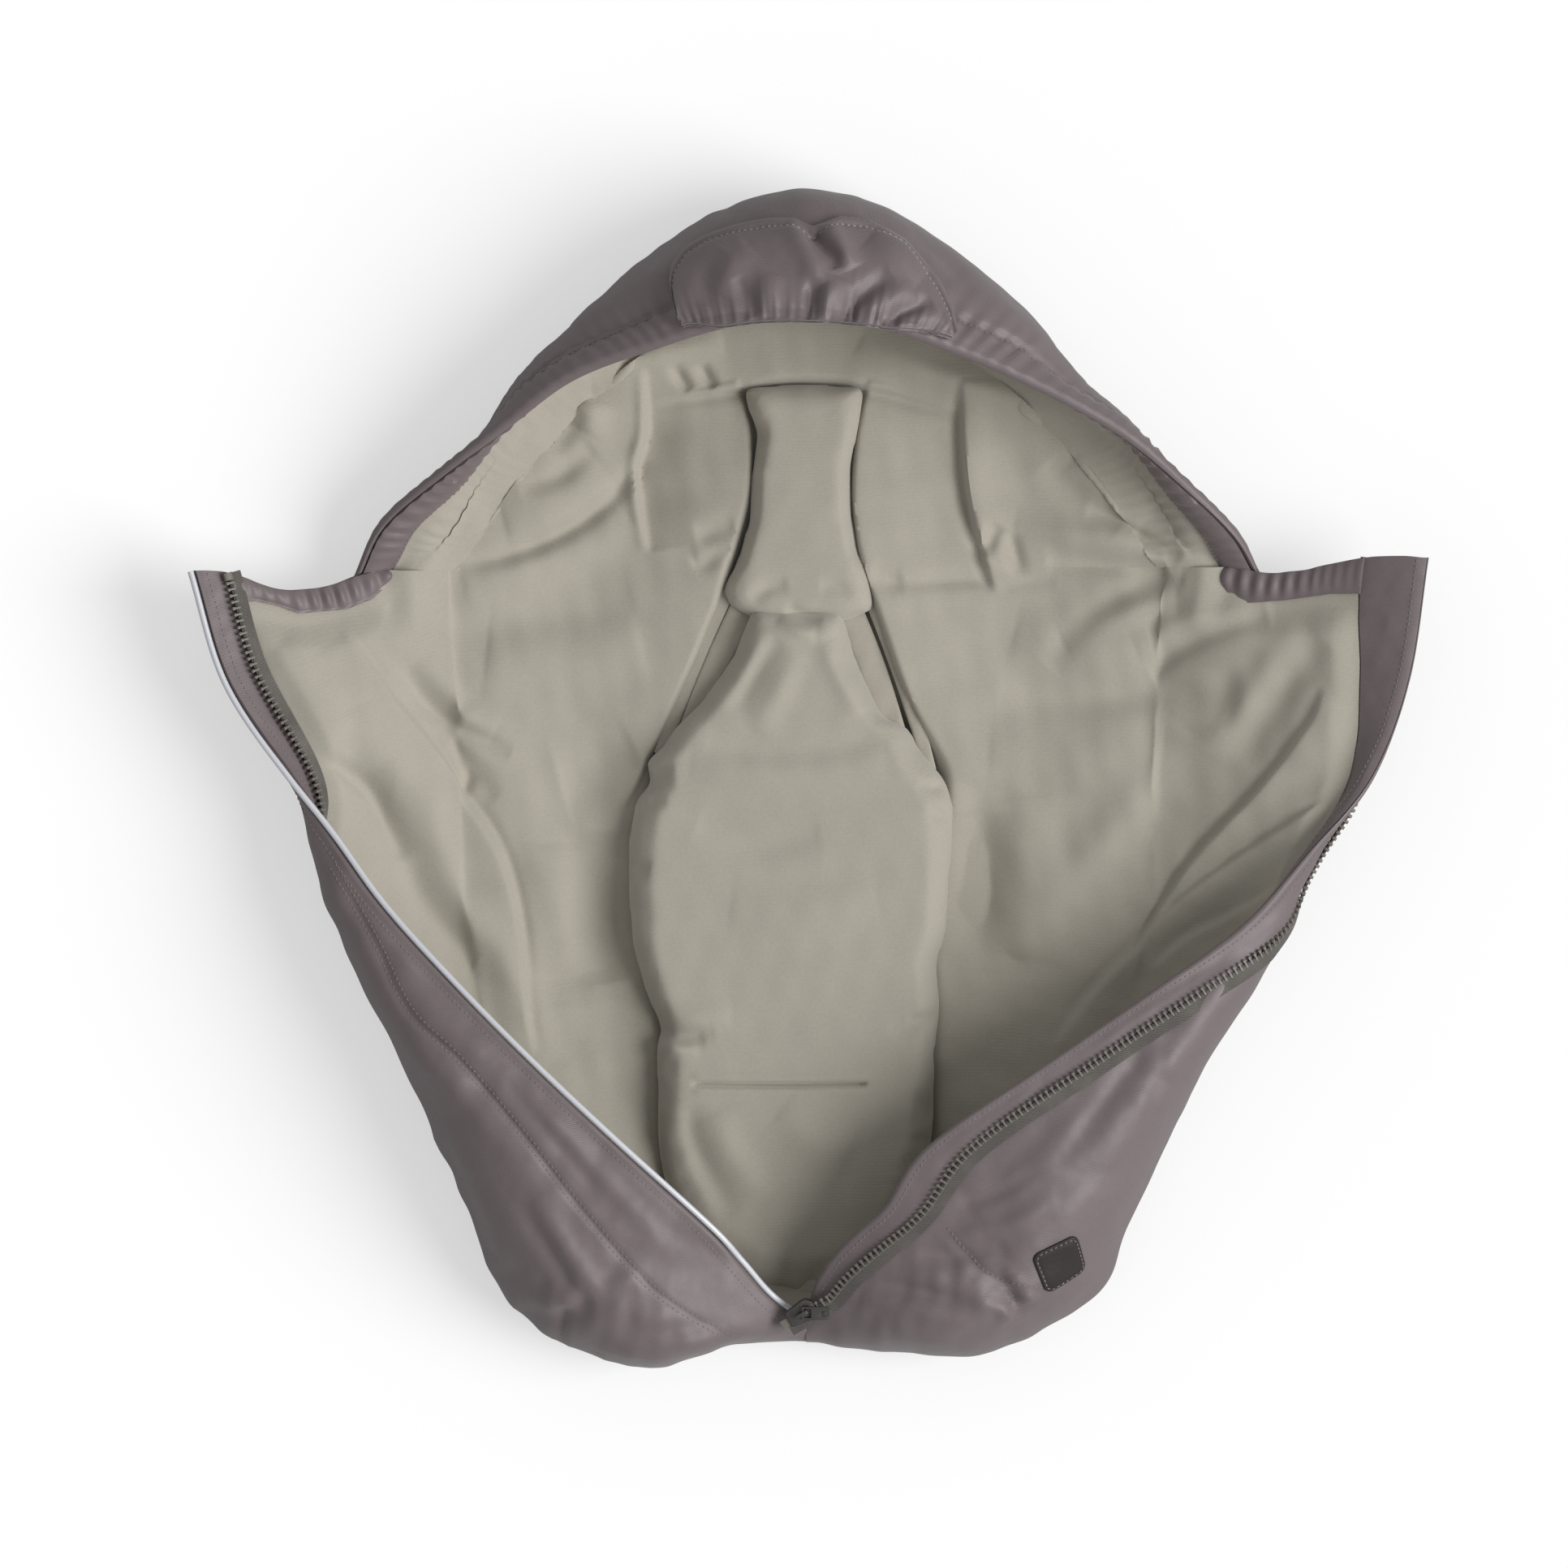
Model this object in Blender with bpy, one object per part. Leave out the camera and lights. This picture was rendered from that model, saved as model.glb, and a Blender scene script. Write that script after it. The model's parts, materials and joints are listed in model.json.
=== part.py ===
"""Car seat footmuff: a padded foot sack with a hood, opened out and lying on its back.

Metres, +Z up, the foot end towards -Y, the origin on the floor under the middle.
The outside of the fabric is one smooth wall, given by five rails at each station round the muff: where it
leaves the floor, its lower side, its widest line, its crown and its rim. Every layer, from the outer shell
to the zip, is a strip of that wall at its own depth, so the layers follow each other.
"""
import math

import bmesh
import bpy
import numpy as np
from mathutils import Matrix, Vector
from mathutils.bvhtree import BVHTree

MM = 0.001

# The muff laid out: rim to rim across the open flaps, and toe to the back of the hood
RIM_WIDTH = 760.7 * MM
FULL_LENGTH = 718.3 * MM

# Thickness of each layer, outside to inside
SHELL = 2.5 * MM
QUILT = 10.0 * MM
FACING = 4.0 * MM
ELASTIC = 1.2 * MM
TAPE = 0.8 * MM
GAP = 0.7 * MM
SEAM_GAP = 1.8 * MM  # the quilt's rolled edge beside a facing
FOLD_GAP = 1.0 * MM

# Where the trims lie, measured along the wall from its rim
CASING_WIDTH = 22.0 * MM
TOP_FACING_WIDTH = 20.0 * MM
ELASTIC_WIDTH = 8.0 * MM
ELASTIC_PLAY = 1.2 * MM
ELASTIC_END = 12.0 * MM  # the elastic stops this far from the casing's ends
PIPING_RADIUS = 2.0 * MM
PIPING_END = 6.0 * MM  # the cord stops this far from the middle of the foot

# The zip
ZIP_PITCH = 4.0 * MM
TOOTH_WIDTH = 2.0 * MM
TOOTH_REACH = 4.0 * MM
BEAD_WIDTH = 1.6 * MM
CHAIN_THICKNESS = 3.0 * MM
TAPE_SHOW = 7.0 * MM  # tape that shows beside the chain, up to the seam
# Station, distance of the chain from the rim
LEFT_INSETS = ((0, 20 * MM), (9, 20 * MM), (12, 8 * MM))
RIGHT_INSETS = ((0, 36 * MM), (7, 27 * MM), (9, 19 * MM), (12, 8 * MM))
BACK_STEP = 2  # teeth to each facet of the bead's back
STOP_LENGTH = 5.0 * MM
CHAIN_PLAY = 1.5 * MM  # under the chain
TAPE_PLAY = 1.2 * MM  # between the bead and the tape's edge
# The right chain leaves its panel this many rows before the foot and runs straight to its end
STRAIGHT_BEFORE_END = 3
CUT_END = 3.0 * MM  # the teeth stop this far from the flap's foot, which crosses the chain aslant
ZIP_END = (-13, -336, 62)  # drawn, in millimetres

# Harness openings
SHOULDER_SLOT_WIDTH = 7.0 * MM
SHOULDER_SLOT_LENGTH = 82.0 * MM
LEFT_SLOT = (-39.5, 191)  # drawn, in millimetres, as are the next two
RIGHT_SLOT = (36, 191)
CROTCH_SLIT = (-16, -188)
SLOT_CUT_HEIGHT = 100.0 * MM
CROTCH_SLIT_WIDTH = 6.0 * MM
CROTCH_SLIT_LENGTH = 113.0 * MM

# Pads
SEAT_CROWN = 24.0 * MM
NECK_CROWN = 15.0 * MM
FOOT_CROWN = 12.0 * MM
HEAD_CROWN = 15.0 * MM
BACK_CROWN = 13.0 * MM
SEAT_ROLL = 15.0 * MM
NECK_ROLL = 11.0 * MM
FOOT_ROLL = 12.0 * MM
HEAD_ROLL = 5.0 * MM
BACK_ROLL = 7.0 * MM

# Slider: u runs along the chain towards the top, v towards the teeth, w outwards
SLIDER_LENGTH = 18.0 * MM
SLIDER_WALL = 1.4 * MM
SLIDER_PLAY = 0.8 * MM
SLIDER_SIDES = (-4.5 * MM, 8.6 * MM)  # its edges, in v
SLIDER_TAIL_IN = 1.7 * MM  # the tail is this much narrower on each side
SLIDER_SHOULDER = 3.4 * MM
SLIDER_NOSE = 2.6 * MM
SLIDER_LIP = 1.2 * MM
POST_LENGTH = 7.0 * MM
POST_WIDTH = 2.2 * MM
CROWN_SPAN = 8.0 * MM
CROWN_BAR = 1.2 * MM
CROWN_WIDTH = 2.2 * MM
CROWN_OPENING = 3.0 * MM
STOP_REST = 0.5 * MM  # between the bottom stop and the slider's tail

# Pull tab, hung on the crown
PULL_LENGTH = 18.0 * MM
PULL_WIDTH = 8.2 * MM
PULL_THICKNESS = 1.8 * MM
PULL_BAR = 1.6 * MM
PULL_WINDOW = (4.2 * MM, 5.8 * MM)
PULL_HOLE_RADIUS = 2.0 * MM
PULL_SKEW = 30.0  # degrees from the slider's length

# Leather patch on the right foot corner
PATCH_CENTRE = (156.5, -298)  # drawn, in millimetres
PATCH_SIDE = 30.0 * MM
ABOVE = 1000.0 * MM  # higher than the whole muff, where the patch's ray starts
PATCH_CORNER = 5.0 * MM
PATCH_THICKNESS = 1.4 * MM
PATCH_LIFT = 1.0 * MM
PATCH_TURN = 20.0  # degrees
PATCH_RINGS = (1.0, 0.78, 0.56, 0.34, 0.12)
PATCH_STEPS = 5

# The visor lies on the hood
VISOR_REACH = (
    (5.4, 34 * MM), (5.8, 48 * MM), (6.2, 58 * MM), (7.6, 66 * MM),
    (8, 58 * MM), (8.4, 40 * MM), (8.7, 28 * MM),
)
VISOR_SEAM = 4.0 * MM
VISOR_LIFT = 1.0 * MM  # the peak lies loosely on the hood
VISOR_STEP = 4.0 * MM
VISOR_ROW_LENGTH = 36.0 * MM
VISOR_PIVOT = (0, 284, 136)  # drawn, in millimetres
VISOR_CLOTH = 1.2 * MM
STIFFENER = 0.8 * MM

# Rails of the wall in millimetres, one line a station: floor, lower side, widest line, crown, rim
LEFT = (
    ((-215, 129, 0), (-262, 129, 25), (-305, 129, 37), (-345, 129, 50), (-378.7, 129, 62)),
    ((-208, 60, 0), (-262, 60, 25), (-300, 60, 40), (-332, 60, 54), (-358, 60, 66)),
    ((-205, 0, 0), (-262, 0, 25), (-295, 0, 44), (-314, 0, 60), (-321, 0, 73)),
    ((-203, -40, 0), (-262, -40, 25), (-298, -40, 49), (-304, -40, 66), (-292, -40, 81)),
    ((-200, -78, 0), (-262, -78, 25), (-291, -78, 56), (-287, -78, 78), (-264, -78, 91)),
    ((-195, -120, 0), (-250, -120, 24), (-273, -120, 54), (-262, -120, 89), (-226, -120, 102)),
    ((-184, -172, 0), (-230, -172, 24), (-248, -172, 56), (-230, -172, 98), (-175, -172, 111)),
    ((-169, -224, 0), (-208, -224, 24), (-224, -226, 54), (-194, -226, 102), (-120, -224, 111)),
    ((-150, -264, 0), (-188, -272, 24), (-203, -275, 50), (-164, -275, 100), (-65, -274, 99)),
    ((-134, -298, 0), (-163, -316, 22), (-176, -327, 46), (-126, -322, 92), (-42, -298, 82)),
    ((-94, -320, 0), (-104, -346, 20), (-110, -359, 42), (-80, -346, 78), (-25, -317, 66)),
    ((-42, -318, 0), (-44, -339, 14), (-45, -346, 30), (-30, -341, 52), (-10, -330, 54)),
    ((-0.5, -318, 0), (-0.5, -336, 10), (-0.5, -344, 22), (-0.5, -341, 36), (-0.5, -335, 47)),
)
RIGHT = (
    ((215, 131, 0), (262, 131, 25), (305, 131, 37), (345, 131, 50), (382, 131, 62)),
    ((208, 62, 0), (262, 62, 25), (306, 62, 40), (343, 62, 54), (371, 62, 66)),
    ((205, 0, 0), (262, 0, 25), (304, 0, 43), (334, 0, 57), (349, 0, 72)),
    ((203, -45, 0), (262, -45, 25), (299, -45, 48), (315, -45, 65), (314, -45, 81)),
    ((200, -90, 0), (262, -90, 25), (293, -90, 55), (291, -90, 77), (273, -90, 92)),
    ((190, -130, 0), (247, -130, 24), (271, -131, 54), (262, -131, 89), (216, -130, 103)),
    ((180, -175, 0), (228, -175, 24), (244, -175, 56), (226, -175, 98), (150, -175, 112)),
    ((168, -223, 0), (206, -225, 24), (218, -227, 54), (186, -227, 103), (77, -226, 110)),
    ((149, -264, 0), (182, -272, 24), (196, -273, 50), (160, -273, 100), (50, -264, 98)),
    ((133, -298, 0), (162, -314, 22), (174, -318, 46), (126, -313, 92), (32, -280, 86)),
    ((92, -320, 0), (102, -342, 20), (111, -351, 42), (80, -338, 78), (17, -295, 75)),
    ((42, -318, 0), (50, -342, 14), (56, -351, 30), (36, -341, 54), (6, -313, 63)),
    ((0.5, -318, 0), (0.5, -336, 10), (0.5, -344, 22), (0.5, -341, 36), (0.5, -331, 47)),
)
HOOD = (
    ((-215, 130, 0), (-231, 130, 4), (-243, 130, 11), (-253, 130, 18), (-262, 130, 25)),
    ((-198, 152, 0), (-220, 155, 8), (-236, 158, 20), (-247, 160, 33), (-255, 160, 46)),
    ((-180, 180, 0), (-203, 186, 12), (-220, 190, 28), (-228, 191, 46), (-228, 190, 63)),
    ((-160, 206, 0), (-180, 217, 14), (-194, 224, 35), (-197, 225, 60), (-190, 220, 80)),
    ((-132, 236, 0), (-150, 252, 16), (-162, 262, 40), (-160, 261, 72), (-147, 251, 97)),
    ((-98, 262, 0), (-112, 286, 18), (-119, 300, 44), (-112, 292, 84), (-96, 270, 112)),
    ((-52, 284, 0), (-58, 318, 20), (-60, 345, 48), (-53, 330, 94), (-46, 284, 124)),
    ((0, 292, 0), (2, 330, 20), (5, 359.3, 50), (4, 342, 98), (0, 287, 128)),
    ((50, 284, 0), (57, 318, 20), (62, 343, 48), (57, 327, 94), (48, 282, 124)),
    ((96, 260, 0), (114, 284, 18), (126, 294, 44), (118, 286, 84), (98, 265, 112)),
    ((132, 234, 0), (150, 246, 16), (160, 253, 40), (160, 251, 70), (150, 243, 97)),
    ((162, 204, 0), (186, 212, 14), (202, 218, 35), (206, 220, 58), (200, 215, 80)),
    ((184, 176, 0), (210, 182, 12), (228, 187, 28), (236, 188, 46), (236, 183, 63)),
    ((200, 152, 0), (224, 154, 8), (242, 157, 20), (252, 157, 33), (258, 154, 46)),
    ((215, 132, 0), (231, 132, 4), (243, 132, 11), (253, 132, 18), (262, 132, 25)),
)
FLAP_STATIONS = 4  # the stations 0 to 4 of each side belong to its flap
FOOT_STATION = 12
HOOD_STATIONS = 14
FLAP_ROWS = 9
FRONT_ROWS = 22
HOOD_ROWS = 21
VISOR_FROM = 5.4
VISOR_TO = 8.7

# Pad outlines, drawn like the rails, in millimetres, anticlockwise from the lower left
SEAT_PAD = (
    (-93, -183), (-96, -165), (-94, -153), (-102, -131), (-110, -100), (-111, -62), (-107, -14),
    (-99, -2), (-100, 9), (-92, 22), (-79, 36), (-62, 61), (-48, 82), (-36, 97),
    (21, 95), (40, 71), (65, 33), (74, 18), (83, 3), (91, -13), (91, -50), (89, -90),
    (84, -114), (84, -140), (81, -168), (79, -183),
)
NECK_PAD = (
    (-52, 111), (-46, 128), (-40, 143), (-35.5, 160), (-34.5, 190), (-32, 215), (-35, 240),
    (31.5, 240.5), (31.5, 215), (28.5, 190), (29.5, 167), (34, 143), (41, 122), (48, 110),
    (30, 105), (6, 99), (-8, 98), (-34, 103),
)
FOOT_PAD = (
    (-91, -196), (-93, -212), (-97, -240), (-96, -268), (-84, -292), (-45, -304), (0, -305),
    (45, -304), (72, -292), (84, -268), (86, -240), (84, -212), (80, -196), (-5, -194),
)
HEAD_PAD = (
    (-95, 251), (-97, 235), (-54, 243), (-18, 246.5), (35, 244.5), (91, 230), (91, 249),
    (68, 262), (38, 271), (0, 275), (-38, 271), (-70, 263),
)
LEFT_BACK_PAD = (
    (-88, 40), (-108, 60), (-114, 110), (-112, 170), (-104, 226), (-66, 236), (-45, 237),
    (-44.5, 210), (-44.5, 178), (-45, 150), (-52, 126), (-63, 108),
)
RIGHT_BACK_PAD = (
    (78, 38), (56, 108), (47, 126), (41, 150), (41, 178), (41, 210), (41.5, 238), (68, 234),
    (99, 222), (108, 170), (112, 110), (103, 58),
)

# The drawing's own span, which the driving sizes stretch
DRAWN_SPAN = np.ptp(np.array([*LEFT, *RIGHT, *HOOD], float).reshape(-1, 3), axis=0)
STRETCH = np.array([RIM_WIDTH / DRAWN_SPAN[0], FULL_LENGTH / DRAWN_SPAN[1], MM])

# Paint: colour, roughness, metallic
SHELL_TAUPE = ((0.165, 0.137, 0.137), 0.55, 0.0)
LINING_SAGE = ((0.37, 0.355, 0.305), 0.95, 0.0)
ZIP_GREY = ((0.15, 0.135, 0.12), 0.45, 0.0)
SLIDER_GREY = ((0.12, 0.11, 0.105), 0.35, 0.6)
PIPING_SILVER = ((0.62, 0.63, 0.67), 0.3, 0.0)
PATCH_LEATHER = ((0.045, 0.038, 0.036), 0.5, 0.0)
ELASTIC_WHITE = ((0.7, 0.7, 0.68), 0.8, 0.0)


def laid(drawn):
    """Drawn places in millimetres, laid out at the muff's real width and length, in metres."""
    drawn = np.array(drawn, float)
    return drawn * STRETCH[:drawn.shape[-1]]


def clear_scene():
    for old in list(bpy.data.objects):
        bpy.data.objects.remove(old, do_unlink=True)


def paint(name, look):
    """One Principled material for each kind of fabric or metal."""
    if name in bpy.data.materials:
        return bpy.data.materials[name]
    colour, roughness, metallic = look
    made = bpy.data.materials.new(name)
    made.use_nodes = True
    shader = made.node_tree.nodes["Principled BSDF"]
    shader.inputs["Base Color"].default_value = (*colour, 1.0)
    shader.inputs["Roughness"].default_value = roughness
    shader.inputs["Metallic"].default_value = metallic
    return made


def collection(name, hidden=False):
    made = bpy.data.collections.new(name)
    bpy.context.scene.collection.children.link(made)
    made.hide_render = hidden
    return made


def add_object(name, bm, look_name, look, home, origin=None):
    """Turns a bmesh into a named object of one body, with its origin at the given place."""
    bmesh.ops.recalc_face_normals(bm, faces=bm.faces)
    place = Vector(origin) if origin is not None else Vector((0, 0, 0))
    bmesh.ops.translate(bm, verts=bm.verts, vec=-place)
    mesh = bpy.data.meshes.new(name)
    bm.to_mesh(mesh)
    bm.free()
    mesh.shade_smooth()
    mesh.set_sharp_from_angle(angle=math.radians(50))
    mesh.materials.append(paint(look_name, look))
    made = bpy.data.objects.new(name, mesh)
    made.location = place
    home.objects.link(made)
    return made


def read_curve(points, place):
    """A Catmull-Rom curve through points, read at a place from 0 to the last index."""
    last = len(points) - 1
    i = min(max(int(math.floor(place)), 0), last - 1)
    f = place - i
    p1, p2 = points[i], points[i + 1]
    p0 = points[i - 1] if i > 0 else 2 * p1 - p2
    p3 = points[i + 2] if i + 2 <= last else 2 * p2 - p1
    return 0.5 * (2 * p1 + (p2 - p0) * f + (2 * p0 - 5 * p1 + 4 * p2 - p3) * f * f
                  + (3 * p1 - p0 - 3 * p2 + p3) * f ** 3)


class Wall:
    """The outside of the fabric on one side: stations along the muff, five rails across it."""

    RIM = 4
    STEP = 0.01

    def __init__(self, rails, squared):
        """squared lists (first station, last station, axis): there the normal has no part along that axis."""
        self.rails = laid(rails)
        self.last = len(rails) - 1
        self.squared = squared
        self.side = 1.0
        self.side = math.copysign(1.0, self.normal(self.last / 2, 0.02)[2])

    def section(self, s):
        """The five rail points at station s, after one that makes the wall leave the floor level."""
        rails = np.array([read_curve(self.rails[:, rail], s) for rail in range(5)])
        before = 2 * rails[0] - rails[1]
        before[2] = rails[1][2]
        return np.vstack([before, rails])

    def point(self, s, t):
        return read_curve(self.section(s), t + 1)

    def normal(self, s, t):
        """Unit normal to the inside of the muff; along the floor edge it points straight up."""
        if t <= 0:
            return np.array([0.0, 0.0, 1.0])
        low, high = max(s - self.STEP, 0), min(s + self.STEP, self.last)
        along = self.point(high, t) - self.point(low, t)
        across = self.point(s, min(t + self.STEP, self.RIM)) - self.point(s, t - self.STEP)
        made = np.cross(along, across) * self.side
        for first, final, axis in self.squared:
            if first <= s <= final:
                made[axis] = 0
        return made / np.linalg.norm(made)

    def place_from_rim(self, s, distance):
        """The place across the wall that lies this far from the rim."""
        section = self.section(s)
        places = np.linspace(self.RIM, 0, 81)
        points = np.array([read_curve(section, t + 1) for t in places])
        run = np.concatenate([[0], np.cumsum(np.linalg.norm(np.diff(points, axis=0), axis=1))])
        return float(np.interp(distance, run, places))

    def station_at_y(self, y, first, final):
        """The station between two others whose lower side lies at this y."""
        for _ in range(40):
            middle = (first + final) / 2
            first, final = (middle, final) if self.point(middle, 1)[1] > y else (first, middle)
        return (first + final) / 2


class Patch:
    """A stretch of wall as flat facets. Layers read it, so that they share the same facets."""

    def __init__(self, wall, rows, columns):
        """rows are stations; columns(s) gives the places across at station s, floor to rim."""
        self.rows = list(rows)
        places = [columns(s) for s in self.rows]
        self.points = np.array([[wall.point(s, t) for t in row] for s, row in zip(self.rows, places)])
        self.normals = np.array([[wall.normal(s, t) for t in row] for s, row in zip(self.rows, places)])
        lengths = np.linalg.norm(np.diff(self.points, axis=1), axis=2)
        self.from_rim = np.array([[row[j:].sum() for j in range(len(row) + 1)] for row in lengths])

    def in_row(self, i, stop):
        """Point and normal in row i at a column number, a distance from the rim, or a rule for one."""
        if isinstance(stop, int):
            return self.points[i][stop], self.normals[i][stop]
        distance = stop(self.rows[i]) if callable(stop) else stop
        run, column = self.from_rim[i][::-1], np.arange(len(self.from_rim[i]))[::-1]
        place = float(np.interp(distance, run, column))
        j = min(int(place), len(run) - 2)
        f = place - j
        return (self.points[i][j] * (1 - f) + self.points[i][j + 1] * f,
                self.normals[i][j] * (1 - f) + self.normals[i][j + 1] * f)

    def read(self, row, stop):
        i = min(int(row), len(self.rows) - 2)
        f = row - i
        (p, n), (q, m) = self.in_row(i, stop), self.in_row(i + 1, stop)
        return p * (1 - f) + q * f, n * (1 - f) + m * f

    def row_list(self, first, final, trim_first=0.0, trim_final=0.0):
        """Row numbers from first to final, the end ones moved in by a trim in metres."""
        rows = [float(i) for i in range(first, final + 1)]
        middle = self.points.shape[1] // 2
        start = np.linalg.norm(self.points[first + 1][middle] - self.points[first][middle])
        end = np.linalg.norm(self.points[final][middle] - self.points[final - 1][middle])
        rows[0] += trim_first / start
        rows[-1] -= trim_final / end
        return rows

    def layer(self, rows, stops, low, high):
        """A closed bmesh of the strip with these rows and stops, between two depths."""
        read = [[self.read(row, stop) for stop in stops] for row in rows]
        return grid_body([[p + n * low for p, n in row] for row in read],
                         [[p + n * high for p, n in row] for row in read])


def grid_body(low, high):
    """A closed bmesh between two grids of points with the same rows and columns."""
    rows, columns = len(low), len(low[0])
    bm = bmesh.new()
    below = [[bm.verts.new(p) for p in row] for row in low]
    above = [[bm.verts.new(p) for p in row] for row in high]
    for i in range(rows - 1):
        for j in range(columns - 1):
            for sheet in (below, above):
                bm.faces.new((sheet[i][j], sheet[i][j + 1], sheet[i + 1][j + 1], sheet[i + 1][j]))
    for i in range(rows - 1):
        for j in (0, columns - 1):
            bm.faces.new((below[i][j], below[i + 1][j], above[i + 1][j], above[i][j]))
    for j in range(columns - 1):
        for i in (0, rows - 1):
            bm.faces.new((below[i][j], below[i][j + 1], above[i][j + 1], above[i][j]))
    return bm


def seamed(wall, start, seam, first, second):
    """Columns of a patch whose seam lies at seam(s) from the rim: first facets up to it, second beyond."""
    def columns(s):
        middle = wall.place_from_rim(s, seam(s))
        return [*np.linspace(start, middle, first + 1), *np.linspace(middle, wall.RIM, second + 1)[1:]]
    return columns


def rule(pairs):
    """A distance that changes along the muff, from (station, distance) pairs."""
    stations, distances = zip(*pairs)
    return lambda s: float(np.interp(s, stations, distances))


def plus(distance, more):
    return lambda s: distance(s) + more


def plan_body(outline, low, high):
    """An upright closed bmesh with the plan outline given, in metres."""
    bm = bmesh.new()
    face = bm.faces.new([bm.verts.new((x, y, low)) for x, y in outline])
    made = bmesh.ops.extrude_face_region(bm, geom=[face])
    bmesh.ops.translate(bm, verts=[v for v in made["geom"] if isinstance(v, bmesh.types.BMVert)],
                        vec=(0, 0, high - low))
    return bm


def drawn_in(outline, distance):
    """The outline moved inwards, each corner along the middle of its two sides."""
    points = np.array(outline, float)
    before, after = np.roll(points, 1, axis=0), np.roll(points, -1, axis=0)
    area = float((points[:, 0] * after[:, 1] - after[:, 0] * points[:, 1]).sum())
    turn = 1.0 if area > 0 else -1.0
    along = after - before
    inwards = np.stack([-along[:, 1], along[:, 0]], axis=1) * turn
    return points + inwards / np.linalg.norm(inwards, axis=1)[:, None] * distance


# A pad's side, as shares of its roll and its crown
PAD_PROFILE = ((0.17, 0.0), (0.0, 0.3), (0.1, 0.62), (0.4, 0.87), (1.0, 1.0))


def pad_body(outline_mm, base, crown, roll):
    """A cushion: its sides bulge over a drawn-in foot and roll over, along roll metres, to a crowned top."""
    outline = laid(outline_mm)
    bm = bmesh.new()
    rings = []
    for inset, share in PAD_PROFILE:
        ring = drawn_in(outline, inset * roll)
        rings.append([bm.verts.new((x, y, base + share * crown)) for x, y in ring])
    for low, high in zip(rings, rings[1:]):
        for i in range(len(low)):
            j = (i + 1) % len(low)
            bm.faces.new((low[i], low[j], high[j], high[i]))
    bm.faces.new(rings[0][::-1])
    bm.faces.new(rings[-1])
    return bm


def box_body(size, centre=(0, 0, 0)):
    bm = bmesh.new()
    bmesh.ops.create_cube(bm, size=1.0)
    bmesh.ops.scale(bm, verts=bm.verts, vec=size)
    bmesh.ops.translate(bm, verts=bm.verts, vec=centre)
    return bm


def cutter(name, bm, home):
    made = add_object(name, bm, "cutter", ELASTIC_WHITE, home)
    made.hide_render = True
    made.display_type = "WIRE"
    return made


def boolean(piece, other, operation="DIFFERENCE"):
    change = piece.modifiers.new(other.name, "BOOLEAN")
    change.operation = operation
    change.solver = "EXACT"
    change.object = other


class ZipPath:
    """The line of a zip chain on a patch, with its side and height directions, read by length."""

    def __init__(self, patch, rows, inset, depth, end=None):
        """end, a point, makes the last stretch run straight to it."""
        places = [p + n * depth for p, n in (patch.read(row, inset) for row in rows)]
        beside = [p + n * depth for p, n in (patch.read(row, plus(inset, -TOOTH_REACH)) for row in rows)]
        normals = [patch.read(row, inset)[1] for row in rows]
        if end is not None:
            places.append(np.array(end))
            beside.append(beside[-1] + places[-1] - places[-2])
            normals.append(normals[-1])
        self.places = np.array(places)
        self.sides, self.normals = [], []
        for i, (place, rimward, normal) in enumerate(zip(places, beside, normals)):
            before = places[i] - places[i - 1] if i > 0 else places[1] - places[0]
            after = places[i + 1] - places[i] if i + 1 < len(places) else before
            straight = end is not None and i == len(places) - 2
            along = after if straight else before / np.linalg.norm(before) + after / np.linalg.norm(after)
            along = along / np.linalg.norm(along)
            side = rimward - place
            side = side - along * side.dot(along)
            side = side / np.linalg.norm(side)
            up = np.cross(along, side)
            self.sides.append(side)
            self.normals.append(up * math.copysign(1.0, up.dot(normal)))
        self.sides, self.normals = np.array(self.sides), np.array(self.normals)
        steps = np.linalg.norm(np.diff(self.places, axis=0), axis=1)
        self.run = np.concatenate([[0], np.cumsum(steps)])
        self.length = float(self.run[-1])

    def read(self, a):
        """Place, side towards the rim and height direction at length a."""
        pick = [np.array([np.interp(a, self.run, values[:, k]) for k in range(3)])
                for values in (self.places, self.sides, self.normals)]
        return pick

    def point(self, a, side, height):
        place, to_rim, up = self.read(a)
        return place + to_rim * side + up * height


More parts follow.
